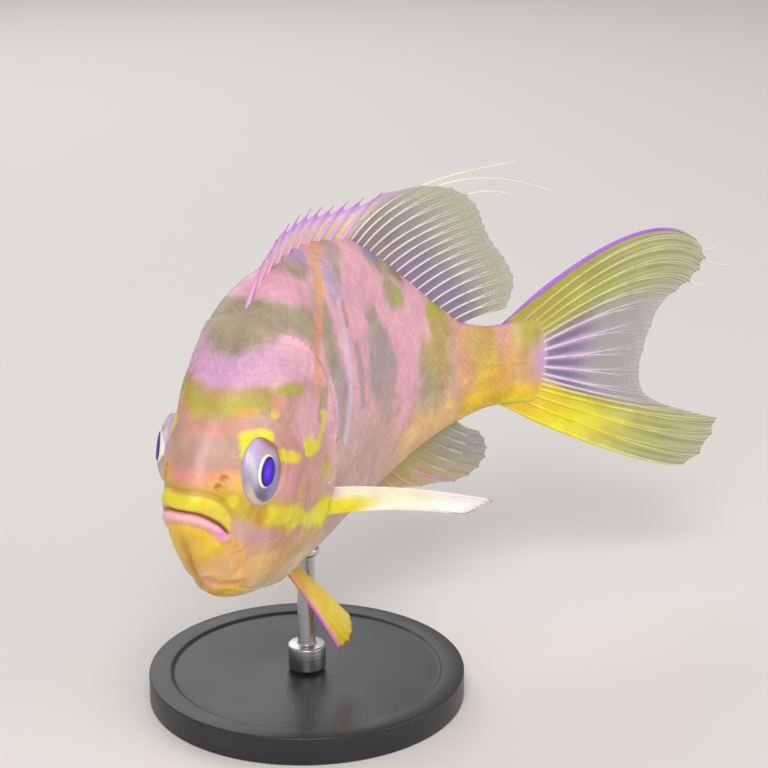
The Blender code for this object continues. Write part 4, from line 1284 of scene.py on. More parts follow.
@dataclass
class ScaleCoat:
    """Thin overlapping scales over the skin, each one a closed plate that follows the body."""

    form: BodyForm
    markings: Markings
    region: ScaleRegion
    seed: int
    cells: int = 5
    long: float = 1.45
    wide: float = 0.6
    sunk: float = 0.00005
    lift: float = 0.000062
    crown: float = 0.000008
    thick: float = 0.00003
    bury: float = 0.00011
    rim_shade: float = 0.09
    patch: float = 0.003

    def pitch(self, s: Array) -> Array:
        """Height of a row of scales, in metres."""
        if self.region is ScaleRegion.HEAD:
            return through(((0.0, 0.0008), (0.12, 0.00095), (0.22, 0.00125), (0.34, 0.0015)), s)
        return through(((0.2, 0.00165), (0.35, 0.0019), (0.5, 0.002), (0.7, 0.0017), (0.9, 0.00125),
                (1.0, 0.00115)), s)

    def template(self) -> tuple[Array, list[list[int]]]:
        """Model one scale: a grid with a wall, whose free edge is rounded where the scales are laid.

        Returns:
            Its points as (along 0 to 1, across -1 to 1, top 1 or bottom 0), and its faces.
        """
        deselect()
        bpy.ops.mesh.primitive_grid_add(x_subdivisions=self.cells, y_subdivisions=self.cells, size=2.0)
        plate = bpy.context.object
        wall = plate.modifiers.new("wall", "SOLIDIFY")
        wall.thickness = 1.0
        wall.offset = -1.0
        apply_modifiers(plate)
        points = mesh_points(plate.data)
        faces = [list(p.vertices) for p in plate.data.polygons]
        bpy.data.objects.remove(plate)
        local = np.stack([0.5 * (points[:, 0] + 1.0), points[:, 1], (points[:, 2] > -0.5) * 1.0], axis=-1)
        return local, faces

    def girth_table(self) -> tuple[Array, Array, Array]:
        """Girth from the mid line against the share q, over s.

        Returns:
            The values of s, the shares over s and girth, and the range of girth at each s.
        """
        s = np.linspace(0.05, 1.0, 120)
        q = np.linspace(0.0, 1.0, 161)
        at = self.form.plain(s[:, None], q[None, :], RIGHT)
        world = self.form.place(at[..., 0], at[..., 1], at[..., 2])
        steps = np.linalg.norm(np.diff(world, axis=1), axis=-1)
        girth = np.concatenate([np.zeros((len(s), 1)), np.cumsum(steps, axis=1)], axis=1)
        girth -= girth[:, len(q) // 2][:, None]
        self.girth = np.linspace(-0.036, 0.036, 361)
        shares = np.stack([np.interp(self.girth, row, q) for row in girth])
        return s, shares, np.stack([girth[:, 0], girth[:, -1]], axis=-1)

    def share_at(self, s: Array, girth: Array) -> Array:
        """The share q at s and at a girth from the mid line, read between the table's entries."""
        rows, shares, _ = self.table
        i = np.clip((s - rows[0]) / (rows[1] - rows[0]), 0.0, len(rows) - 1.001)
        j = np.clip((girth - self.girth[0]) / (self.girth[1] - self.girth[0]), 0.0,
            len(self.girth) - 1.001)
        a, b = i.astype(int), j.astype(int)
        fa, fb = i - a, j - b
        near = shares[a, b] * (1.0 - fb) + shares[a, b + 1] * fb
        far = shares[a + 1, b] * (1.0 - fb) + shares[a + 1, b + 1] * fb
        return near * (1.0 - fa) + far * fa

    def wanted(self, s: float, girth: Array) -> Array:
        """Which scales of one column grow in this region.

        Args:
            s: the column's place.
            girth: the girth of each scale of the column.

        Returns:
            True for each scale that is made.
        """
        q = self.share_at(np.full(girth.shape, s), girth)
        at = self.form.plain(np.full(girth.shape, s), q, RIGHT)
        z = at[:, 2]
        behind = self.form.behind_gill(np.full(girth.shape, s), q)
        if self.region is not ScaleRegion.HEAD:
            return behind > 0.002
        past = s - 0.178 - 0.045 * np.cos((z + 0.03) * 9.0)
        clear_eye = self.form.eye_distance(s, z) > 0.066 + 0.012 * (z < 0.03)
        cheek = (q < 0.84) & (s > 0.118 + 0.02 * (z < -0.06))
        crown = (z > 0.09) & (s > 0.105)
        return (behind < -0.02) & clear_eye & ((z > 0.09) & crown | (z <= 0.09)
            & cheek) & (np.abs(past) > 0.006)

    def cover(self, s: Array, z: Array) -> Array:
        """How far the scales stand out at each place: none at the coat's borders, where they sink away."""
        if self.region is not ScaleRegion.HEAD:
            return ease(s, 0.21, 0.25) * (1.0 - ease(s, 0.93, 0.972))
        crown = ease(s, 0.112, 0.165) * ease(z, 0.085, 0.1)
        cheek = ease(s, 0.125, 0.15) * (1.0 - ease(z, 0.085, 0.1))
        return np.maximum(crown, cheek) * ease(self.form.eye_distance(s, z), 0.066, 0.085)

    def roots(self) -> Array:
        """Places of all scales in staggered columns from front to rear.

        Returns:
            Rows of s, girth from the mid line, and pitch.
        """
        found = []
        s = 0.1 if self.region is ScaleRegion.HEAD else 0.205
        column = 0
        while s < 0.992:
            pitch = float(self.pitch(np.array(s)))
            rows, _, ranges = self.table
            top = np.interp(s, rows, ranges[:, 0]) + 0.45 * pitch
            bottom = np.interp(s, rows, ranges[:, 1]) - 0.45 * pitch
            girth = (np.arange(-60, 61) + 0.5 * (column % 2)) * pitch
            girth = girth[(girth > top) & (girth < bottom)]
            girth = girth[self.wanted(s, girth)]
            found += [(s, g, pitch) for g in girth]
            s += 0.54 * pitch / self.form.length
            column += 1
        return np.array(found)

    def build(self) -> bpy.types.Object:
        """Lay a copy of the scale on every place and paint them all.

        Returns:
            The joined coat.
        """
        self.table = self.girth_table()
        local, faces = self.template()
        roots = self.roots()
        sides = {ScaleRegion.LEFT_FLANK: (LEFT,), ScaleRegion.RIGHT_FLANK: (RIGHT,),
            ScaleRegion.HEAD: (LEFT, RIGHT)}[self.region]
        side = np.concatenate([np.full(len(roots), one) for one in sides])
        roots = np.concatenate([roots] * len(sides))
        draw = np.random.default_rng(self.seed)
        count = len(roots)
        size = draw.uniform(0.94, 1.06, (count, 1))
        tip = draw.uniform(0.8, 1.15, (count, 1))
        skew = draw.normal(0.0, 0.05, (count, 1))
        shade = draw.normal(1.0, 0.035, (count, 1, 1))
        if self.region is ScaleRegion.HEAD:
            tip = tip * 0.75
        along, across, top = local[:, 0][None], local[:, 1][None], local[:, 2][None]
        pitch = roots[:, 2][:, None]
        span = self.long * pitch * size
        forward = span * (along * (1.0 - 0.34 * across ** 2 * along) - 0.62)
        girth = roots[:, 1][:, None] + self.wide * pitch * size * across * (0.86 + 0.14
            * along) + skew * forward
        s = roots[:, 0][:, None] + forward / self.form.length
        q = np.clip(self.share_at(s, girth), 0.002, 0.998)
        height = -self.sunk + self.lift * tip * along ** 1.4 - self.crown * across ** 2
        height = height - (1.0 - top) * self.thick * (0.6 + 0.4 * along)
        side_of = np.broadcast_to(side[:, None], s.shape)
        at = self.form.plain(s, q, side_of)
        height = height - self.bury * (1.0 - self.cover(s, at[..., 2]))
        points, at = self.form.skin(s, q, side_of, height)
        numbers = (np.arange(count) * len(local))[:, None]
        corners = [(np.array(face)[None, :] + numbers).tolist() for face in faces]
        coat = array_piece(f"scales_{self.region.value}", points.reshape(-1, 3),
            [face for group in corners for face in group])
        mesh = coat.data
        rim = 1.0 - self.rim_shade * ease(np.maximum(along, np.abs(across)), 0.7, 1.0)
        set_tint(mesh, (self.markings.colour(at) * shade * rim[..., None]).reshape(-1, 3))
        ring = np.hypot(1.25 * (along - 0.1), across)
        set_value(mesh, "growth", np.broadcast_to(ring * 5.0, s.shape))
        self.unwrap(mesh, roots, side, local)
        pick(coat)
        bpy.ops.object.shade_smooth_by_angle(angle=math.radians(50.0))
        finish = LiveFinish(f"scale_moist_{self.region.value}", coat=0.12, coat_roughness=0.35,
            ridges="growth", ridge_height=0.000005).material()
        slot = "face_skin" if self.region is ScaleRegion.HEAD else "flank_skin"
        return finish_piece(coat, finish, slot, smooth=False)

    def unwrap(self, mesh: bpy.types.Mesh, roots: Array, side: Array, local: Array) -> None:
        """Give every scale a small patch at its root's place on the unrolled skin.

        Args:
            mesh: the joined coat.
            roots: rows of s, girth and pitch.
            side: the side of each scale.
            local: the points of one scale.
        """
        q = self.share_at(roots[:, 0], roots[:, 1])
        middle = np.stack([roots[:, 0], 0.5 + 0.48 * side * q], axis=-1)
        patch = np.stack([local[:, 0] - 0.5, 0.5 * local[:, 1]], axis=-1) * self.patch
        spots = (middle[:, None, :] + patch[None, :, :]).reshape(-1, 2)
        layer = mesh.uv_layers.new(name="OFBake")
        order = np.empty(len(mesh.loops), dtype=np.int64)
        mesh.loops.foreach_get("vertex_index", order)
        layer.data.foreach_set("uv", spots[order].astype(np.float32).ravel())


# Eyes


@dataclass
class Eye:
    """One eye: a wet dome with a lens-bulged pupil, a pale ring and a silvery iris."""

    form: BodyForm
    side: float
    pupil_at: tuple[float, float]
    turn: float = 0.0
    radius: float = 0.0046
    tall: float = 1.11
    half_depth: float = 0.0018
    rise: float = 0.0012
    pupil: tuple[float, float] = (0.00168, 0.00216)
    ring: tuple[float, float] = (0.00194, 0.00236)
    ring_shift: tuple[float, float] = (0.00026, 0.00002)
    pupil_lean: float = math.radians(26.0)

    def colours(self, forward: Array, up: Array) -> tuple[Array, Array]:
        """Paint of the eye, with a painted highlight on the iris, a painted reflection in the pupil and
        painted shade at the pupil and the upper rear rim.

        Args:
            forward: places over the dome towards the snout, in metres.
            up: places over the dome upwards, in metres.

        Returns:
            Linear colours, and the pupil's share.
        """
        x, y = forward / self.radius, up / (self.radius * self.tall)
        far = np.hypot(x, y)
        shades = linear(Paint.IRIS_GREY) + np.zeros((*x.shape, 3))
        dx, dy = forward - self.pupil_at[0], up - self.pupil_at[1]
        lean_x = dx * math.cos(self.pupil_lean) + dy * math.sin(self.pupil_lean)
        lean_y = dy * math.cos(self.pupil_lean) - dx * math.sin(self.pupil_lean)
        core = np.hypot(lean_x / self.pupil[0], lean_y / self.pupil[1])
        ring = np.hypot((lean_x - self.ring_shift[0]) / self.ring[0],
            (lean_y - self.ring_shift[1]) / self.ring[1])
        for shade, amount in (
                (Paint.IRIS_LILAC, 0.9 * ease(y, 0.0, 0.55)),
                (Paint.IRIS_DARK, 0.8 * ease(-y, 0.15, 0.55) * ease(x, 0.0, 0.3)),
                # painted highlight: a white streak over the forward part of the iris
                (Paint.HIGHLIGHT_WHITE, 0.55 * bump(x - 0.72, 0.13) * ease(y, -0.5, 0.2)),
                (Paint.LILAC, 0.8 * bump(np.hypot((x - 0.22) / 0.24, (y - 0.5) / 0.42), 0.9)),
                (Paint.CREAM, 0.7 * ease(far, 0.8, 0.9) * (0.25 + 0.75 * ease(-y, -0.1, 0.5))),
                # painted shade where the upper rear rim of the orbit overhangs the eye
                (Paint.SHADE_BROWN, 0.9 * ease(far, 0.5, 0.74) * ease(0.55 * y - 0.85 * x, 0.25, 0.6)),
                (Paint.MUSTARD, 0.8 * bump(np.hypot(dx / MM - 0.1, dy / MM - 2.75), 0.55)),
                (Paint.VIOLET, 0.55 * bump(np.hypot(dx / MM - 0.1, dy / MM + 2.85), 0.6)),
                (Paint.IRIS_CREAM, 1.0 - ease(ring, 0.95, 1.04)),
                # painted shade round the rim of the pupil
                (Paint.PUPIL_SHADE, 1.0 - ease(core, 0.96, 1.04)),
                (Paint.PUPIL, 0.97 * (1.0 - ease(core, 0.72, 0.97))),
                # painted reflection: a brighter violet patch over the forward part of the pupil
                (Paint.PUPIL_REFLECTION, 0.9 * (1.0 - ease(np.hypot(core, lean_x / self.pupil[0] - 0.55), 0.35,
                            0.95))),
                # painted shade over the rear side of the pupil
                (Paint.PUPIL_SHADE, 0.7 * (1.0 - ease(core, 0.9, 1.0))
                    * ease(-lean_x / self.pupil[0], 0.2, 0.7)),
        ):
            shades = shades + (linear(shade) - shades) * amount[..., None]
        return shades, 1.0 - ease(core, 0.85, 1.05)

    def build(self) -> bpy.types.Object:
        """Shape a ball into the eye, paint it and put it in its socket.

        Returns:
            The eye.
        """
        word = "left" if self.side < 0.0 else "right"
        deselect()
        bpy.ops.mesh.primitive_uv_sphere_add(segments=128, ring_count=128, radius=1.0)
        ball = bpy.context.object
        ball.name = ball.data.name = f"eyeball_{word}"
        points = mesh_points(ball.data) * (self.radius, self.radius * self.tall, self.half_depth)
        forward = points[:, 0] * self.side
        shades, pupil = self.colours(forward, points[:, 1])
        front = points[:, 2] > 0.0
        points[:, 2] += 0.00016 * pupil * front
        shades = np.where(front[:, None], shades, linear(Paint.IRIS_LILAC))
        set_points(ball.data, points)
        set_tint(ball.data, shades)
        place = self.form.facing(*self.form.eye_place, self.side, self.form.eye_forward + self.turn,
            self.form.eye_up, self.rise - self.half_depth)
        ball.data.transform(place)
        finish_piece(ball, EyeFinish(f"eye_wet_{word}").material(), "eye")
        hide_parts(f"eye_{word}")
        return ball


# Fins


@dataclass
class FinPlan:
    """The lay of a fin: root, guide and tip of each ray, as places on the fish or in the world."""

    roots: Array
    guides: Array
    tips: Array
    notches: Array
    form: BodyForm
    median: bool
    sway: float = 0.0003
    sway_turns: float = 0.55

    @property
    def last(self) -> int:
        """Number of the last ray."""
        return len(self.roots) - 1

    def flat(self, u: Array, v: Array) -> Array:
        """Points of the fin before it sways.

        Args:
            u: ray numbers, with fractions between rays.
            v: shares from root (0) to tip (1).

        Returns:
            World points along a new last axis.
        """
        u = np.clip(u, 0.0, self.last)
        k = np.clip(np.floor(u).astype(int), 0, self.last - 1)
        f = (u - k)[..., None]
        reach = v * (1.0 - self.notches[k] * np.sin(math.pi * f[..., 0]) ** 0.8)
        reach = reach[..., None]
        root = self.roots[k] * (1.0 - f) + self.roots[k + 1] * f
        guide = self.guides[k] * (1.0 - f) + self.guides[k + 1] * f
        tip = self.tips[k] * (1.0 - f) + self.tips[k + 1] * f
        at = (1.0 - reach) ** 2 * root + 2.0 * reach * (1.0 - reach) * guide + reach * reach * tip
        if self.median:
            return self.form.place(at[..., 0], 0.0, at[..., 1])
        return at

    def normal(self, u: Array, v: Array) -> Array:
        """The way that the fin's face looks."""
        along = self.flat(u, v + 0.02) - self.flat(u, v - 0.02)
        low, high = np.clip(u - 0.3, 0.0, self.last), np.clip(u + 0.3, 0.0, self.last)
        across = self.flat(high, v) - self.flat(low, v)
        normal = np.cross(across, along)
        return normal / np.maximum(np.linalg.norm(normal, axis=-1, keepdims=True), 1e-12)

    def at(self, u: Array, v: Array, off: Array | float = 0.0) -> Array:
        """Points of the fin as it sways, moved off its face by a distance."""
        wave = self.sway * np.sin(u * self.sway_turns + 1.3 * v) * np.clip(v, 0.0, 1.0) ** 1.5
        return self.flat(u, v) + self.normal(u, v) * (wave + off)[..., None]


@dataclass
class Tubes:
    """Many tapered rods gathered for one joined mesh."""

    sides: int = 8
    points: list[Array] = field(default_factory=list)
    faces: list[list[int]] = field(default_factory=list)
    tints: list[Array] = field(default_factory=list)
    joints: list[Array] = field(default_factory=list)
    count: int = 0

    def add(self, line: Array, normal: Array, radius: Array, tint: Array, flat: float = 0.8,
            joint: float = 0.0006) -> None:
        """Add one rod.

        Args:
            line: its middle points.
            normal: the face's normal at each point, which the rod is flattened along.
            radius: its radius at each point.
            tint: its linear colour at each point.
            flat: its thickness against its width.
            joint: the spacing of its joints in metres.
        """
        way = np.gradient(line, axis=0)
        way /= np.maximum(np.linalg.norm(way, axis=1, keepdims=True), 1e-12)
        wide = np.cross(way, normal)
        wide /= np.maximum(np.linalg.norm(wide, axis=1, keepdims=True), 1e-12)
        thick = np.cross(wide, way)
        turn = np.arange(self.sides) * 2.0 * math.pi / self.sides
        ring = (wide[:, None] * np.cos(turn)[None, :, None] + thick[:, None] * np.sin(turn)[None, :, None]
            * flat) * radius[:, None, None]
        body = (line[:, None] + ring).reshape(-1, 3)
        passed = np.concatenate([[0.0], np.cumsum(np.linalg.norm(np.diff(line, axis=0), axis=1))])
        rows, n, first = len(line), self.sides, self.count
        for i in range(rows - 1):
            for j in range(n):
                a, b = first + i * n + j, first + i * n + (j + 1) % n
                self.faces.append([a, b, b + n, a + n])
        root, end = first + rows * n, first + rows * n + 1
        for j in range(n):
            self.faces.append([root, first + (j + 1) % n, first + j])
            self.faces.append([end, first + (rows - 1) * n + j, first + (rows - 1) * n + (j + 1) % n])
        self.points += [body, line[:1], line[-1:] + way[-1:] * radius[-1]]
        self.tints += [np.repeat(tint, n, axis=0), tint[:1], tint[-1:]]
        self.joints += [np.repeat(passed, n) / joint, passed[:1], passed[-1:] / joint]
        self.count += rows * n + 2

    def piece(self, name: str) -> bpy.types.Object:
        """The joined rods as one object."""
        thing = array_piece(name, np.concatenate(self.points), self.faces)
        set_tint(thing.data, np.concatenate(self.tints))
        set_value(thing.data, "joints", np.concatenate(self.joints))
        pick(thing)
        bpy.ops.object.mode_set(mode="EDIT")
        bpy.ops.mesh.select_all(action="SELECT")
        bpy.ops.mesh.normals_make_consistent(inside=False)
        bpy.ops.object.mode_set(mode="OBJECT")
        return thing


Shader = Callable[[Array, Array], tuple[Array, Array]]


def layers(start: Colour, where: Array, *coats: tuple[Colour, Array]) -> Array:
    """Colours laid over one another.

    Args:
        start: the ground colour.
        where: any array of the wanted shape.
        coats: pairs of colour and share, in order.

    Returns:
        Linear colours along a new last axis.
    """
    shades = linear(start) + np.zeros((*where.shape, 3))
    for colour, amount in coats:
        shades = shades + (linear(colour) - shades) * np.clip(amount, 0.0, 1.0)[..., None]
    return shades


@dataclass
class Fin:
    """A fin: a thin clear membrane, soft rays that branch twice, and stiff spines."""

    name: str
    plan: FinPlan
    slot: str
    nodes: tuple[str, ...]
    shader: Shader
    ray_shader: Shader
    spines: tuple[int, ...] = ()
    plain_rays: tuple[int, ...] = ()
    ray_radius: float = 0.00021
    spine_radius: float = 0.0004
    edge_radius: float = 0.00026
    thickness: float = 0.00006
    ridge: float = 0.00002
    between: int = 8
    rows: int = 44
    start: float = 0.0
    root_swell: float = 0.0
    ray_end: float = 0.985
    fork: float = 0.42
    second_fork: float = 0.7
    opening: float = 0.25

    def membrane(self) -> bpy.types.Object:
        """The web between the rays, a grid drawn to the fin's lay and given its thickness.

        Returns:
            The membrane.
        """
        u = np.linspace(0.0, self.plan.last, self.plan.last * self.between + 1)
        v = self.start + (1.0 - self.start) * np.linspace(0.0, 1.0, self.rows) ** 0.9
        uu, vv = np.meshgrid(u, v * 0.985, indexing="xy")
        part = uu - np.floor(uu)
        pleat = -0.0001 * np.sin(math.pi * part) * ease(vv, 0.05, 0.3)
        web = grid_piece(f"{self.name}_membrane", self.plan.at(uu, vv, pleat))
        shades, clear = self.shader(uu, vv)
        set_tint(web.data, shades.reshape(-1, 3))
        set_value(web.data, "clear", clear.ravel())
        wall = web.modifiers.new("wall", "SOLIDIFY")
        wall.thickness = self.thickness
        wall.offset = 0.0
        apply_modifiers(web)
        return web

    def stretch(self, tubes: Tubes, u: Array, v: Array, radius: Array, flat: float = 0.8) -> None:
        """Add one rod that follows the fin."""
        shades, _ = self.ray_shader(u, v)
        tubes.add(self.plan.at(u, v), self.plan.normal(u, v), radius, shades, flat)

    def soft_ray(self, tubes: Tubes, k: int, draw: np.random.Generator) -> None:
        """Add one soft ray, which forks into two and again into four.

        Args:
            tubes: where the rods are gathered.
            k: the ray's number.
            draw: the seeded random source.
        """
        first, second = self.fork + draw.uniform(-0.04, 0.04), self.second_fork + draw.uniform(-0.04,
            0.04)
        thin = self.ray_radius
        v = np.linspace(self.start, first, 14)
        swell = 1.0 + self.root_swell * (1.0 - ease(v, 0.04, 0.26))
        self.stretch(tubes, np.full(v.shape, float(k)), v, thin * swell * (1.0 - 0.35 * v))
        for way in (-1.0, 1.0):
            v = np.linspace(first - 0.01, second, 10)
            part = np.clip((v - first) / (1.0 - first), 0.0, 1.0)
            u = k + way * self.opening * part
            self.stretch(tubes, u, v, thin * 0.66 * (1.0 - 0.45 * v))
            for turn in (-1.0, 1.0):
                v = np.linspace(second - 0.01, self.ray_end, 9)
                part = np.clip((v - first) / (1.0 - first), 0.0, 1.0)
                more = np.clip((v - second) / (1.0 - second), 0.0, 1.0)
                u = k + way * self.opening * part + turn * 0.5 * self.opening * more
                self.stretch(tubes, u, v, np.maximum(thin * 0.5 * (1.0 - 0.55 * v), 0.00005))

    def rods(self) -> Tubes:
        """Gather the rays and spines.

        Returns:
            The rods of the fin.
        """
        tubes = Tubes()
        draw = np.random.default_rng(len(self.name) * 7 + self.plan.last)
        for k in range(self.plan.last + 1):
            if k in self.spines:
                v = self.start + (1.035 - self.start) * np.linspace(0.0, 1.0, 22)
                radius = self.spine_radius * (1.0 - 0.86 * np.clip(v, 0.0, 1.0) ** 1.1)
                self.stretch(tubes, np.full(v.shape, float(k)), v, np.maximum(radius, 0.00004), 0.9)
            elif k in self.plain_rays:
                v = np.linspace(self.start, 1.0, 30)
                radius = self.edge_radius * (0.25 + 0.75 * ease(v, 0.0, 0.16)) * (1.0 - 0.7 * v)
                self.stretch(tubes, np.full(v.shape, float(k)), v, radius)
            else:
                self.soft_ray(tubes, k, draw)
        return tubes

    def build(self, extra: Callable[[Tubes], None] | None = None) -> list[bpy.types.Object]:
        """Make the fin's membrane and rods and dress them.

        Args:
            extra: adds more rods before they are joined.

        Returns:
            The fin's pieces.
        """
        web = self.membrane()
        finish = LiveFinish(f"{self.name}_web", mottle=0.5, coat=0.2, glow=0.0, clear=True).material()
        finish_piece(web, finish, self.slot)
        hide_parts(*self.nodes)
        tubes = self.rods()
        if extra:
            extra(tubes)
        rays = tubes.piece(f"{self.name}_rays")
        finish = LiveFinish(f"{self.name}_ray", mottle=0.4, coat=0.25, glow=0.0, ridges="joints",
            ridge_height=self.ridge).material()
        return [web, finish_piece(rays, finish, self.slot)]


@dataclass
class MedianFins:
    """The fins of back, belly and tail, from the same named points as the solid fins."""

    form: BodyForm
    root_sink: float = 0.012
    spine_count: int = 10
    spine_roots: tuple[float, float] = (0.236, 0.56)
    spine_tips: Pairs = (
        (0.304, 0.318), (0.352, 0.341), (0.399, 0.356), (0.44, 0.362), (0.48, 0.363), (0.515, 0.359),
        (0.55, 0.354), (0.589, 0.354), (0.628, 0.354), (0.672, 0.357),
    )
    soft_count: int = 17
    soft_roots: tuple[float, float] = (0.586, 0.846)
    soft_tip_s: Pairs = ((0.0, 0.767), (0.12, 0.83), (0.25, 0.885), (0.4, 0.902), (0.55, 0.92),
        (0.7, 0.947), (0.85, 0.966), (1.0, 0.95))
    soft_tip_z: Pairs = ((0.0, 0.359), (0.12, 0.348), (0.25, 0.312), (0.4, 0.276), (0.55, 0.238),
        (0.7, 0.202), (0.85, 0.155), (1.0, 0.108))
    filaments: Sequence[tuple[int, float, float]] = ((1, 0.962, 0.38), (2, 1.04, 0.317),
        (4, 0.952, 0.321))
    anal_spine_roots: tuple[float, float] = (0.642, 0.682)
    anal_spine_tips: Pairs = ((0.677, -0.191), (0.717, -0.2), (0.767, -0.208))
    anal_ray_roots: tuple[float, float] = (0.702, 0.83)
    anal_ray_tips: Pairs = ((0.845, -0.2135), (0.876, -0.207), (0.897, -0.194), (0.911, -0.176),
        (0.914, -0.158), (0.908, -0.139), (0.894, -0.122))
    caudal_count: int = 17
    caudal_tip_s: Pairs = ((-1.0, 1.362), (-0.875, 1.404), (-0.75, 1.434), (-0.625, 1.448), (-0.5, 1.365),
        (-0.375, 1.305), (-0.25, 1.262), (-0.125, 1.249), (0.0, 1.257), (0.125, 1.275), (0.25, 1.3),
        (0.375, 1.335), (0.5, 1.366), (0.75, 1.398), (0.875, 1.386), (1.0, 1.372))
    caudal_tip_z: Pairs = ((-1.0, -0.27), (-0.875, -0.252), (-0.75, -0.216), (-0.625, -0.186),
        (-0.5, -0.157), (-0.375, -0.132), (-0.25, -0.103), (-0.125, -0.06), (0.0, -0.015), (0.125, 0.03),
        (0.25, 0.07), (0.5, 0.102), (0.75, 0.144), (0.875, 0.168), (1.0, 0.186))
    caudal_threads: Sequence[tuple[int, float, float]] = ((1, 1.411, 0.171), (2, 1.453, 0.1295),
        (4, 1.394, 0.094))
    caudal_bulge: Pairs = ((-1.0, -0.032), (-0.75, -0.04), (-0.5, -0.02), (0.0, 0.0), (0.25, 0.04),
        (0.5, 0.09), (0.75, 0.13), (1.0, 0.13))
    caudal_forward: float = 0.058

    def sunk(self, profile: Pairs, places: Sequence[float], way: float) -> Array:
        """Roots a little under the skin of the back (way 1) or the belly (way -1)."""
        return np.array([(s, float(self.form.profile(profile, s)) - way
                    * self.root_sink) for s in places])

    def thread(self, tubes: Tubes, plan: FinPlan, k: int, end: Sequence[float], radius: float) -> None:
        """Draw ray k out past the web into a thread.

        Args:
            tubes: where the rods are gathered.
            plan: the lay of the fin.
            k: the ray's number.
            end: the thread's end, as (s, z).
            radius: the thread's radius at its start.
        """
        tip, guide = plan.tips[k], plan.guides[k]
        onward = (tip - guide) / np.linalg.norm(tip - guide)
        middle = tip + onward * np.linalg.norm(np.array(end) - tip) * 0.45
        t = np.linspace(0.0, 1.0, 24)[:, None]
        start = tip - onward * 0.004
        line = (1.0 - t) ** 2 * start + 2.0 * t * (1.0 - t) * middle + t * t * np.array(end)
        world = self.form.place(line[:, 0], 0.0, line[:, 1])
        world += plan.at(np.full((1,), float(k)), np.ones(1)) - self.form.place(tip[0], 0.0, tip[1])
        across = np.cross(np.gradient(world, axis=0), (0.0, 0.0, 1.0))
        size = radius * (1.0 - 0.55 * t[:, 0])
        tubes.add(world, across, size, layers(Paint.RAY_PALE, size), 1.0)

    def dorsal(self) -> None:
        """The fin of the back, with three of its soft rays drawn out into threads."""
        spine_s = np.linspace(*self.spine_roots, self.spine_count)
        soft_s = np.linspace(*self.soft_roots, self.soft_count)
        share = np.arange(self.soft_count) / (self.soft_count - 1)
        roots = self.sunk(self.form.back, (*spine_s, *soft_s), 1.0)
        tips = np.array([*self.spine_tips, *zip(through(self.soft_tip_s, share),
                    through(self.soft_tip_z, share))])
        bend = np.array([(0.5, 0.62)] * self.spine_count + [(0.38, 0.72)] * self.soft_count)
        guides = roots + (tips - roots) * bend
        notches = np.array([0.03] * 2 + [0.22] * (self.spine_count - 3) + [0.01] * self.soft_count)
        plan = FinPlan(roots, guides, tips, notches, self.form, True)
        stiff = self.spine_count - 0.5

        def web(u: Array, v: Array) -> tuple[Array, Array]:
            """Paint and solidity of the web, as a Shader."""
            spiny = 1.0 - ease(u, stiff - 0.5, stiff + 0.6)
            soft = ease(u, stiff, stiff + 1.0)
            between = 1.0 - np.abs(2.0 * (u - np.floor(u)) - 1.0)
            shades = layers(Paint.CLEAR_GREY, u, (Paint.PALE_LILAC, spiny * 0.9),
                (Paint.LEMON, spiny * between * (1.0 - ease(v, 0.45, 0.85))),
                (Paint.ROSE, spiny * (1.0 - ease(v, 0.05, 0.22))),
                (Paint.LILAC, spiny * ease(v, 0.7, 0.95)),
                (Paint.DEEP_VIOLET, soft * 0.55 * (1.0 - ease(v, 0.25, 0.62)) * ease(u, 13.0, 18.0)),
                (Paint.UMBER, soft * 0.45 * (1.0 - ease(v, 0.2, 0.5)) * (1.0 - ease(u, 13.0, 18.0))),
                (Paint.CLEAR_GREEN, soft * 0.5 * ease(v, 0.5, 0.9)))
            clear = 0.95 * spiny + (1.0 - spiny) * (0.8 - 0.34 * ease(v, 0.25, 0.8) - 0.1
                * ease(v, 0.8, 1.0))
            return shades, clear

        def rods(u: Array, v: Array) -> tuple[Array, Array]:
            """Paint of the rays, as a Shader."""
            spiny = 1.0 - ease(u, stiff - 0.4, stiff + 0.4)
            shades = layers(Paint.RAY_PALE, u, (Paint.SPINE_PINK, spiny),
                (Paint.VIOLET, spiny * ease(v, 0.45, 0.85) * 0.7),
                (Paint.SPINE_RED, spiny * ease(v, 0.9, 1.0)),
                (Paint.RAY_LILAC, (1.0 - spiny) * 0.6 * (1.0 - ease(v, 0.2, 0.6))),
                (Paint.LILAC, (1.0 - spiny) * 0.45 * (1.0 - ease(v, 0.0, 0.35))),
                (Paint.CLEAR_GREEN, (1.0 - spiny) * 0.65 * ease(v, 0.45, 0.9)))
            return shades, v

        def threads(tubes: Tubes) -> None:
            """Add the threads that are drawn out past the margin."""
            for number, *end in self.filaments:
                self.thread(tubes, plan, self.spine_count + number - 1, end, 0.00019)

        spiny_rays = tuple(range(self.spine_count))
        Fin("dorsal", plan, "dorsal_membrane", ("dorsal_fin",), web, rods, spines=spiny_rays,
            plain_rays=(self.spine_count,), spine_radius=0.0005, ray_end=0.94).build(threads)

    def anal(self) -> None:
        """The fin under the tail, folded back."""
        spine_s = np.linspace(*self.anal_spine_roots, len(self.anal_spine_tips))
        ray_s = np.linspace(*self.anal_ray_roots, len(self.anal_ray_tips))
        roots = self.sunk(self.form.belly, (*spine_s, *ray_s), -1.0)
        tips = np.array([*self.anal_spine_tips, *self.anal_ray_tips])
        guides = roots + (tips - roots) * np.array([0.42, 0.66])
        notches = np.array([0.07] * len(self.anal_spine_tips) + [0.035] * len(self.anal_ray_tips))
        plan = FinPlan(roots, guides, tips, notches, self.form, True, 0.0002)

        def web(u: Array, v: Array) -> tuple[Array, Array]:
            """Paint and solidity of the web, as a Shader."""
            shades = layers(Paint.CLEAR_GREY, u, (Paint.KHAKI, 0.8 * (1.0 - ease(u, 2.5, 7.0))),
                (Paint.OLIVE, 0.6 * (1.0 - ease(v, 0.0, 0.45))))
            return shades, 0.86 - 0.34 * ease(v, 0.3, 0.95)

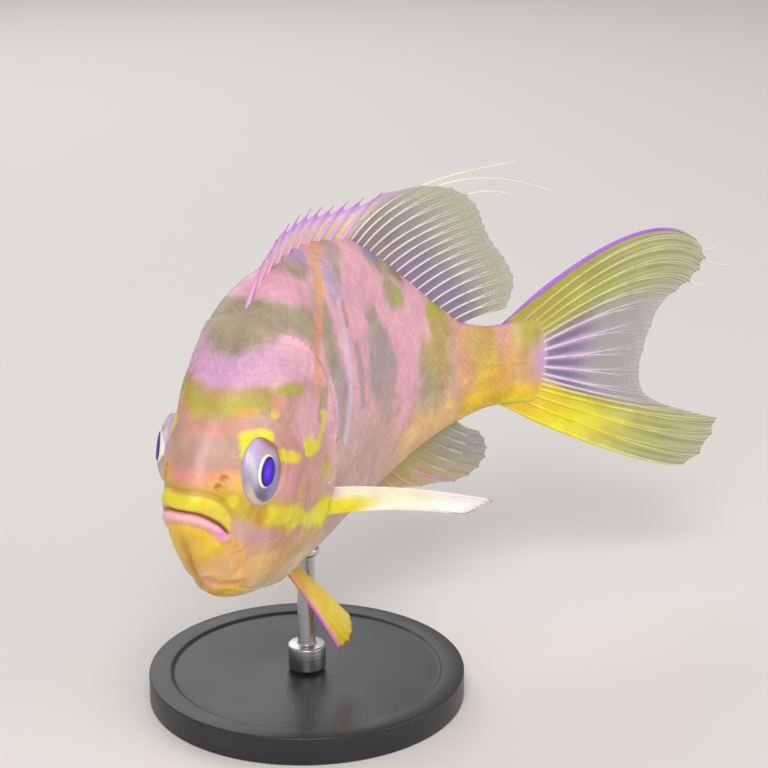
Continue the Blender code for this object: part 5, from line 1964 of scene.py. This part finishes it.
        def rods(u: Array, v: Array) -> tuple[Array, Array]:
            """Paint of the rays, as a Shader."""
            front = 1.0 - ease(u, 1.6, 2.6)
            edge = bump(u - 3.0, 0.35)
            return layers(Paint.CLEAR_GREEN, u, (Paint.RAY_PALE, 0.4 * ease(v, 0.2, 0.7)),
                (Paint.ORANGE, front * 0.8), (Paint.MAGENTA, edge * ease(v, 0.3, 0.5)),
                (Paint.VIOLET, edge * ease(v, 0.6, 0.9) * 0.7)), v

        Fin("anal", plan, "anal_membrane", ("anal_fin",), web, rods, spines=(0, 1, 2),
            plain_rays=(3,)).build()

    def caudal(self) -> None:
        """The forked tail fin."""
        fan = np.linspace(1.0, -1.0, self.caudal_count)
        roots = np.stack([0.998 - self.caudal_forward * fan ** 6, 0.0775 * fan], axis=-1)
        tips = np.stack([through(self.caudal_tip_s, fan), through(self.caudal_tip_z, fan)], axis=-1)
        guides = roots + (tips - roots) * 0.72
        guides[:, 1] += through(self.caudal_bulge, fan)
        notches = np.full(self.caudal_count, 0.022)
        plan = FinPlan(roots, guides, tips, notches, self.form, True, 0.0004, 0.8)
        last = self.caudal_count - 1.0

        def web(u: Array, v: Array) -> tuple[Array, Array]:
            """Paint and solidity of the web, as a Shader."""
            share = u / last
            upper = 1.0 - ease(share, 0.22, 0.42)
            lower = ease(share, 0.66, 0.8)
            middle = (1.0 - upper) * (1.0 - lower)
            streak = 0.5 + 0.5 * np.cos(4.0 * math.pi * u + 2.0 * np.sin(3.0 * v + u))
            near = np.abs(2.0 * (u - np.floor(u)) - 1.0)
            shades = layers(Paint.CLEAR_GREY, u, (Paint.LILAC,
                    middle * 0.8 * ease(near, 0.35, 0.75) * (1.0 - ease(v, 0.28, 0.6))),
                (Paint.DEEP_VIOLET, middle * 0.9 * (1.0 - ease(near, 0.25, 0.7)) * bump(v - 0.27, 0.2)),
                (Paint.LILAC, middle * 0.9 * (1.0 - ease(v, 0.06, 0.15))),
                (Paint.LEAF, upper * (1.0 - 0.75 * ease(v, 0.45, 0.95))),
                (Paint.OLIVE, upper * 0.7 * (1.0 - ease(v, 0.05, 0.4))),
                (Paint.LEAF, lower * (1.0 - 0.7 * ease(v, 0.5, 0.95))),
                (Paint.YELLOW, ease(share, 0.74, 0.9) * (1.0 - ease(v, 0.25, 0.62))),
                (Paint.GOLD, 0.85 * ease(share, 0.6, 0.7) * (1.0 - ease(v, 0.05, 0.24))),
                (Paint.PINK_ORANGE, 0.7 * bump(share - 0.5, 0.3) * (1.0 - ease(v, 0.03, 0.1))),
                (Paint.LEAF_PALE, 0.5 * streak * ease(v, 0.15, 0.5) * np.maximum(upper, lower)))
            clear = 0.46 + 0.42 * (1.0 - ease(v, 0.05, 0.5)) + 0.24 * np.maximum(upper, lower)
            return shades, np.clip(clear - 0.1 * ease(v, 0.7, 1.0), 0.3, 0.96)

        def rods(u: Array, v: Array) -> tuple[Array, Array]:
            """Paint of the rays, as a Shader."""
            share = u / last
            upper = 1.0 - ease(share, 0.22, 0.42)
            lower = ease(share, 0.66, 0.8)
            shades = layers(Paint.RAY_LILAC, u, (Paint.CLEAR_GREEN, 0.55 * ease(v, 0.45, 0.8)),
                (Paint.LEAF_PALE, upper * (0.9 - 0.3 * ease(v, 0.5, 0.95))),
                (Paint.OLIVE, upper * 0.6 * (1.0 - ease(v, 0.05, 0.3))), (Paint.LEAF_PALE, lower * 0.9),
                (Paint.YELLOW, lower * (1.0 - ease(v, 0.25, 0.65))),
                (Paint.PINK_ORANGE, 0.6 * (1.0 - ease(v, 0.02, 0.08))),
                (Paint.RAY_PALE, 0.75 * ease(v, 0.86, 1.0)),
                (Paint.VIOLET, (1.0 - ease(u, 0.35, 0.9)) * (1.0 - ease(v, 0.72, 0.95))))
            return shades, v

        def threads(tubes: Tubes) -> None:
            """Add the threads that are drawn out past the margin."""
            for number, *end in self.caudal_threads:
                self.thread(tubes, plan, number, end, 0.00015)

        Fin("caudal", plan, "caudal_membrane", ("caudal_fin_upper", "caudal_fin_lower"), web, rods,
            plain_rays=(0, int(last)), ray_radius=0.00023, edge_radius=0.00046, rows=60, between=12,
            root_swell=0.25, fork=0.26, second_fork=0.52).build(threads)


@dataclass
class PairedFins:
    """The fins of breast and belly on both sides."""

    form: BodyForm
    sink: float = 0.0009
    pectoral_count: int = 17
    pectoral_root: Pairs = ((0.334, -0.066), (0.332, -0.116))
    left_pectoral: Sequence[tuple[float, float, float]] = (
        (0.45, -0.345, -0.08), (0.459, -0.358, -0.083), (0.44, -0.335, -0.096),
        (0.413, -0.321, -0.1025), (0.39, -0.303, -0.0955))
    right_pectoral: Sequence[tuple[float, float, float]] = (
        (0.588, 0.148, -0.048), (0.618, 0.158, -0.085), (0.6, 0.162, -0.125),
        (0.56, 0.158, -0.158), (0.505, 0.148, -0.172))
    pelvic_count: int = 6
    pelvic_root: Pairs = ((0.276, 0.046), (0.346, 0.026))
    left_pelvic: Sequence[tuple[float, float, float]] = (
        (0.44, -0.072, -0.408), (0.476, -0.072, -0.408), (0.506, -0.064, -0.394), (0.512, -0.052, -0.372))
    right_pelvic: Sequence[tuple[float, float, float]] = (
        (0.52, 0.082, -0.3), (0.548, 0.078, -0.284), (0.545, 0.072, -0.268), (0.525, 0.066, -0.256))

    def pectoral(self, side: float, tips: Sequence[tuple[float, float, float]],
            arch: Sequence[float]) -> None:
        """One side fin.

        Args:
            side: -1 for the left side, 1 for the right.
            tips: knots of the fin's edge, as places on the fish.
            arch: how far the rays bow out, in metres.
        """
        word = "left" if side < 0.0 else "right"
        spots = spread(self.pectoral_root, self.pectoral_count)
        skin = np.array([self.form.flank(s, z, side, 0.0) for s, z in spots])
        roots = np.array([self.form.flank(s, z, side, -self.sink) for s, z in spots])
        ends = spread(tips, self.pectoral_count)
        world = self.form.place(ends[:, 0], ends[:, 1], ends[:, 2])
        guides = 0.5 * (skin + world) + np.array(arch)
        plan = FinPlan(roots, guides, world, np.full(self.pectoral_count, 0.035), self.form, False,
            0.00015)

        def web(u: Array, v: Array) -> tuple[Array, Array]:
            """Paint and solidity of the web, as a Shader."""
            low = ease(u, 3.0, 9.0)
            shades = layers(Paint.MILK, u, (Paint.WHITE, 0.75 * ease(v, 0.55, 0.8)),
                (Paint.YELLOW, low * (1.0 - ease(v, 0.22, 0.42))),
                (Paint.LILAC, 0.7 * (1.0 - ease(v, 0.04, 0.14)) * (1.0 - low)))
            return shades, 0.97 - 0.12 * ease(v, 0.7, 1.0)

        def rods(u: Array, v: Array) -> tuple[Array, Array]:
            """Paint of the rays, as a Shader."""
            low = ease(u, 3.0, 9.0)
            return layers(Paint.MILK, u, (Paint.WHITE, 0.8 * ease(v, 0.5, 0.8)),
                (Paint.YELLOW, low * (1.0 - ease(v, 0.22, 0.42))),
                (Paint.SALMON, 0.6 * ease(v, 0.93, 1.0))), v

        Fin(f"pectoral_{word}", plan, "pectoral_membrane", (f"pectoral_fin_{word}",), web, rods,
            plain_rays=(0,), ray_radius=0.0001, edge_radius=0.00016, rows=40, between=6,
            thickness=0.00016, ridge=0.000005).build()

    def pelvic(self, side: float, tips: Sequence[tuple[float, float, float]],
            arch: Sequence[float]) -> None:
        """One belly fin.

        Args:
            side: -1 for the left side, 1 for the right.
            tips: knots of the fin's edge, as places on the fish.
            arch: how far the rays bow out, in metres.
        """
        word = "left" if side < 0.0 else "right"
        roots = []
        for s, across in spread(self.pelvic_root, self.pelvic_count):
            wide, low = self.form.profile(self.form.half_width, s), self.form.profile(self.form.belly, s)
            middle = self.form.profile(self.form.widest_height, s)
            skin = middle - (middle - low) * math.sqrt(1.0 - (across / wide) ** 2)
            roots.append(self.form.place(s, side * across, skin + self.sink / self.form.length))
        ends = spread(tips, self.pelvic_count)
        world = self.form.place(ends[:, 0], ends[:, 1], ends[:, 2])
        guides = 0.5 * (np.array(roots) + world) + np.array(arch)
        plan = FinPlan(np.array(roots), guides, world, np.full(self.pelvic_count, 0.025), self.form,
            False, 0.0002)

        def web(u: Array, v: Array) -> tuple[Array, Array]:
            """Paint and solidity of the web, as a Shader."""
            shades = layers(Paint.EGG, u, (Paint.GOLD_SHADE, 0.7 * (1.0 - ease(v, 0.1, 0.5))),
                (Paint.YELLOW, 0.5 * bump(v - 0.65, 0.3)),
                (Paint.MAGENTA, 0.8 * (1.0 - ease(u, 0.15, 0.7)) * ease(v, 0.25, 0.6)))
            return shades, np.full(v.shape, 0.97)

        def rods(u: Array, v: Array) -> tuple[Array, Array]:
            """Paint of the rays, as a Shader."""
            front = 1.0 - ease(u, 0.3, 0.9)
            return layers(Paint.EGG, u, (Paint.GOLD_SHADE, 0.6 * (1.0 - ease(v, 0.1, 0.5))),
                (Paint.SALMON, front * 0.8), (Paint.MAGENTA, front * ease(v, 0.2, 0.5)),
                (Paint.VIOLET, front * ease(v, 0.75, 1.0) * 0.6)), v

        Fin(f"pelvic_{word}", plan, "pelvic_membrane", (f"pelvic_fin_{word}",), web, rods, spines=(0,),
            ray_radius=0.00018, spine_radius=0.00046).build()


# Stand and studio


@dataclass
class Stand:
    """A round base with a ring groove, and one rod with a collar and a small pad under the belly."""

    form: BodyForm
    groove_inset: float = 0.0035
    groove_depth: float = 0.0004
    collar_radius: float = 0.003
    collar_height: float = 0.004
    pad_radius: float = 0.0021
    pad_height: float = 0.0012

    def ring_faces(self, thing: bpy.types.Object,
            wanted: Callable[[bpy.types.MeshPolygon], bool]) -> None:
        """Select faces by a test and enter edit mode."""
        pick(thing)
        bpy.ops.object.mode_set(mode="EDIT")
        bpy.ops.mesh.select_mode(type="FACE")
        bpy.ops.mesh.select_all(action="DESELECT")
        bpy.ops.object.mode_set(mode="OBJECT")
        for face in thing.data.polygons:
            face.select = wanted(face)
        bpy.ops.object.mode_set(mode="EDIT")

    def base(self) -> bpy.types.Object:
        """The base, a cylinder with an inset groove and softened edges."""
        low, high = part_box("stand_base")
        radius, height = 0.5 * (high.x - low.x), high.z - low.z
        deselect()
        bpy.ops.mesh.primitive_cylinder_add(vertices=160, radius=radius, depth=height,
            location=(0.0, 0.0, low.z + 0.5 * height))
        base = bpy.context.object
        base.name = base.data.name = "stand_base_round"
        settle(base)
        self.ring_faces(base, lambda face: face.normal.z > 0.9)
        bpy.ops.mesh.inset(thickness=self.groove_inset)
        bpy.ops.mesh.inset(thickness=0.0003)
        bpy.ops.mesh.inset(thickness=0.0006)
        bpy.ops.object.mode_set(mode="OBJECT")
        inner, outer = radius - self.groove_inset - 0.001, radius - self.groove_inset - 0.0002
        points = mesh_points(base.data)
        away = np.hypot(points[:, 0], points[:, 1])
        groove = (points[:, 2] > high.z - 1e-5) & (away < outer) & (away > inner)
        points[groove, 2] -= self.groove_depth
        set_points(base.data, points)
        soft = base.modifiers.new("soft_edges", "BEVEL")
        soft.width = 0.0005
        soft.segments = 3
        soft.limit_method = "ANGLE"
        soft.angle_limit = math.radians(40.0)
        apply_modifiers(base)
        finish_piece(base, StandPaint().material(), "stand_base_paint")
        pick(base)
        bpy.ops.object.shade_smooth_by_angle(angle=math.radians(35.0))
        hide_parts("stand_base")
        return base

    def rod(self) -> bpy.types.Object:
        """The rod, extruded from a disc through its collar and pad."""
        low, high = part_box("stand_rod")
        radius = 0.5 * (high.x - low.x)
        foot = low.z - 0.0003
        deselect()
        bpy.ops.mesh.primitive_circle_add(vertices=48, radius=self.collar_radius, fill_type="NGON",
            location=(0.0, 0.0, foot))
        rod = bpy.context.object
        rod.name = rod.data.name = "stand_rod_steel_rod"
        settle(rod)
        pick(rod)
        bpy.ops.object.mode_set(mode="EDIT")
        bpy.ops.mesh.select_all(action="SELECT")
        steps = (
            (self.collar_height, 1.0), (0.0, radius / self.collar_radius),
            (high.z - foot - self.collar_height - self.pad_height, 1.0),
            (0.0, self.pad_radius / radius), (self.pad_height, 1.0),
        )
        for rise, grow in steps:
            bpy.ops.mesh.extrude_region_move(TRANSFORM_OT_translate={"value": (0.0, 0.0, rise)})
            if grow != 1.0:
                bpy.ops.transform.resize(value=(grow, grow, 1.0))
        bpy.ops.mesh.select_all(action="SELECT")
        bpy.ops.mesh.normals_make_consistent(inside=False)
        bpy.ops.object.mode_set(mode="OBJECT")
        soft = rod.modifiers.new("soft_edges", "BEVEL")
        soft.width = 0.0003
        soft.segments = 3
        soft.limit_method = "ANGLE"
        soft.angle_limit = math.radians(40.0)
        apply_modifiers(rod)
        finish_piece(rod, BrushedSteel().material(), "stand_rod_steel")
        pick(rod)
        bpy.ops.object.shade_smooth_by_angle(angle=math.radians(35.0))
        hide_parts("stand_rod")
        return rod


@dataclass
class Studio:
    """Pale sheet, soft lights and the camera at the photograph's angle."""

    aim: tuple[float, float, float] = (0.0072, -0.01, 0.0521)
    azimuth: float = math.radians(-48.0)
    elevation: float = math.radians(18.0)
    distance: float = 0.3281
    lens: float = 101.3
    sheet: float = 2.4

    def floor(self) -> bpy.types.Object:
        """The pale floor, a wide round sheet."""
        deselect()
        bpy.ops.mesh.primitive_circle_add(vertices=96, radius=self.sheet, fill_type="NGON",
            location=(0.0, 0.0, -0.00002))
        floor = bpy.context.object
        floor.name = floor.data.name = "studio_floor"
        settle(floor)
        floor.data.materials.append(StudioPaper().material())
        return floor

    def light(self, name: str, at: tuple[float, float, float], size: float, power: float,
            colour: tuple[float, float, float]) -> None:
        """One soft area light that looks at the fish.

        Args:
            name: the light's name.
            at: its place in metres.
            size: the side of its square in metres.
            power: its power in watts.
            colour: its colour.
        """
        lamp = bpy.data.lights.new(name, "AREA")
        lamp.size = size
        lamp.energy = power
        lamp.color = colour
        thing = bpy.data.objects.new(name, lamp)
        thing.location = at
        thing.rotation_euler = (Vector(self.aim) - Vector(at)).to_track_quat("-Z", "Y").to_euler()
        bpy.context.scene.collection.objects.link(thing)

    def build(self) -> None:
        """Set up floor, lights, world and camera."""
        self.floor()
        self.light("key", (-0.45, -0.4, 0.62), 0.4, 4.2, (1.0, 0.98, 0.95))
        self.light("fill", (0.35, -0.75, 0.3), 0.6, 2.2, (0.96, 0.97, 1.0))
        self.light("rim", (0.3, 0.55, 0.5), 0.6, 1.8, (1.0, 1.0, 1.0))
        world = bpy.data.worlds.new("studio_air")
        bpy.context.scene.world = world
        world.use_nodes = True
        sky = world.node_tree.nodes["Background"]
        sky.inputs["Color"].default_value = (0.93, 0.94, 0.97, 1.0)
        sky.inputs["Strength"].default_value = 0.46
        back = Vector((math.sin(self.azimuth) * math.cos(self.elevation),
                -math.cos(self.azimuth) * math.cos(self.elevation), math.sin(self.elevation)))
        lens = bpy.data.cameras.new("camera")
        lens.lens = self.lens
        lens.sensor_width = 36.0
        lens.clip_start = 0.01
        camera = bpy.data.objects.new("camera", lens)
        camera.location = Vector(self.aim) + back * self.distance
        camera.rotation_euler = back.to_track_quat("Z", "Y").to_euler()
        bpy.context.scene.collection.objects.link(camera)
        bpy.context.scene.camera = camera
        bpy.context.scene.view_settings.view_transform = "Standard"


def main() -> None:
    """Build every piece in order and report each one."""
    logging.basicConfig(level=logging.INFO, format="%(message)s")
    form = BodyForm()
    markings = Markings(form)
    Skin(form, markings).build()
    for seed, region in enumerate(ScaleRegion):
        ScaleCoat(form, markings, region, 40 + seed).build()
    Eye(form, LEFT, (0.0006, 0.0002)).build()
    Eye(form, RIGHT, (0.0023, 0.001), math.radians(8.0), rise=0.0017).build()
    median = MedianFins(form)
    median.dorsal()
    median.anal()
    median.caudal()
    paired = PairedFins(form)
    paired.pectoral(LEFT, paired.left_pectoral, (0.0, 0.0, 0.0016))
    paired.pectoral(RIGHT, paired.right_pectoral, (0.0, 0.0014, 0.0))
    paired.pelvic(LEFT, paired.left_pelvic, (0.0, -0.001, 0.0))
    paired.pelvic(RIGHT, paired.right_pelvic, (0.0, 0.0012, -0.0008))
    stand = Stand(form)
    stand.base()
    stand.rod()
    Studio().build()


if __name__ == "__main__":
    main()
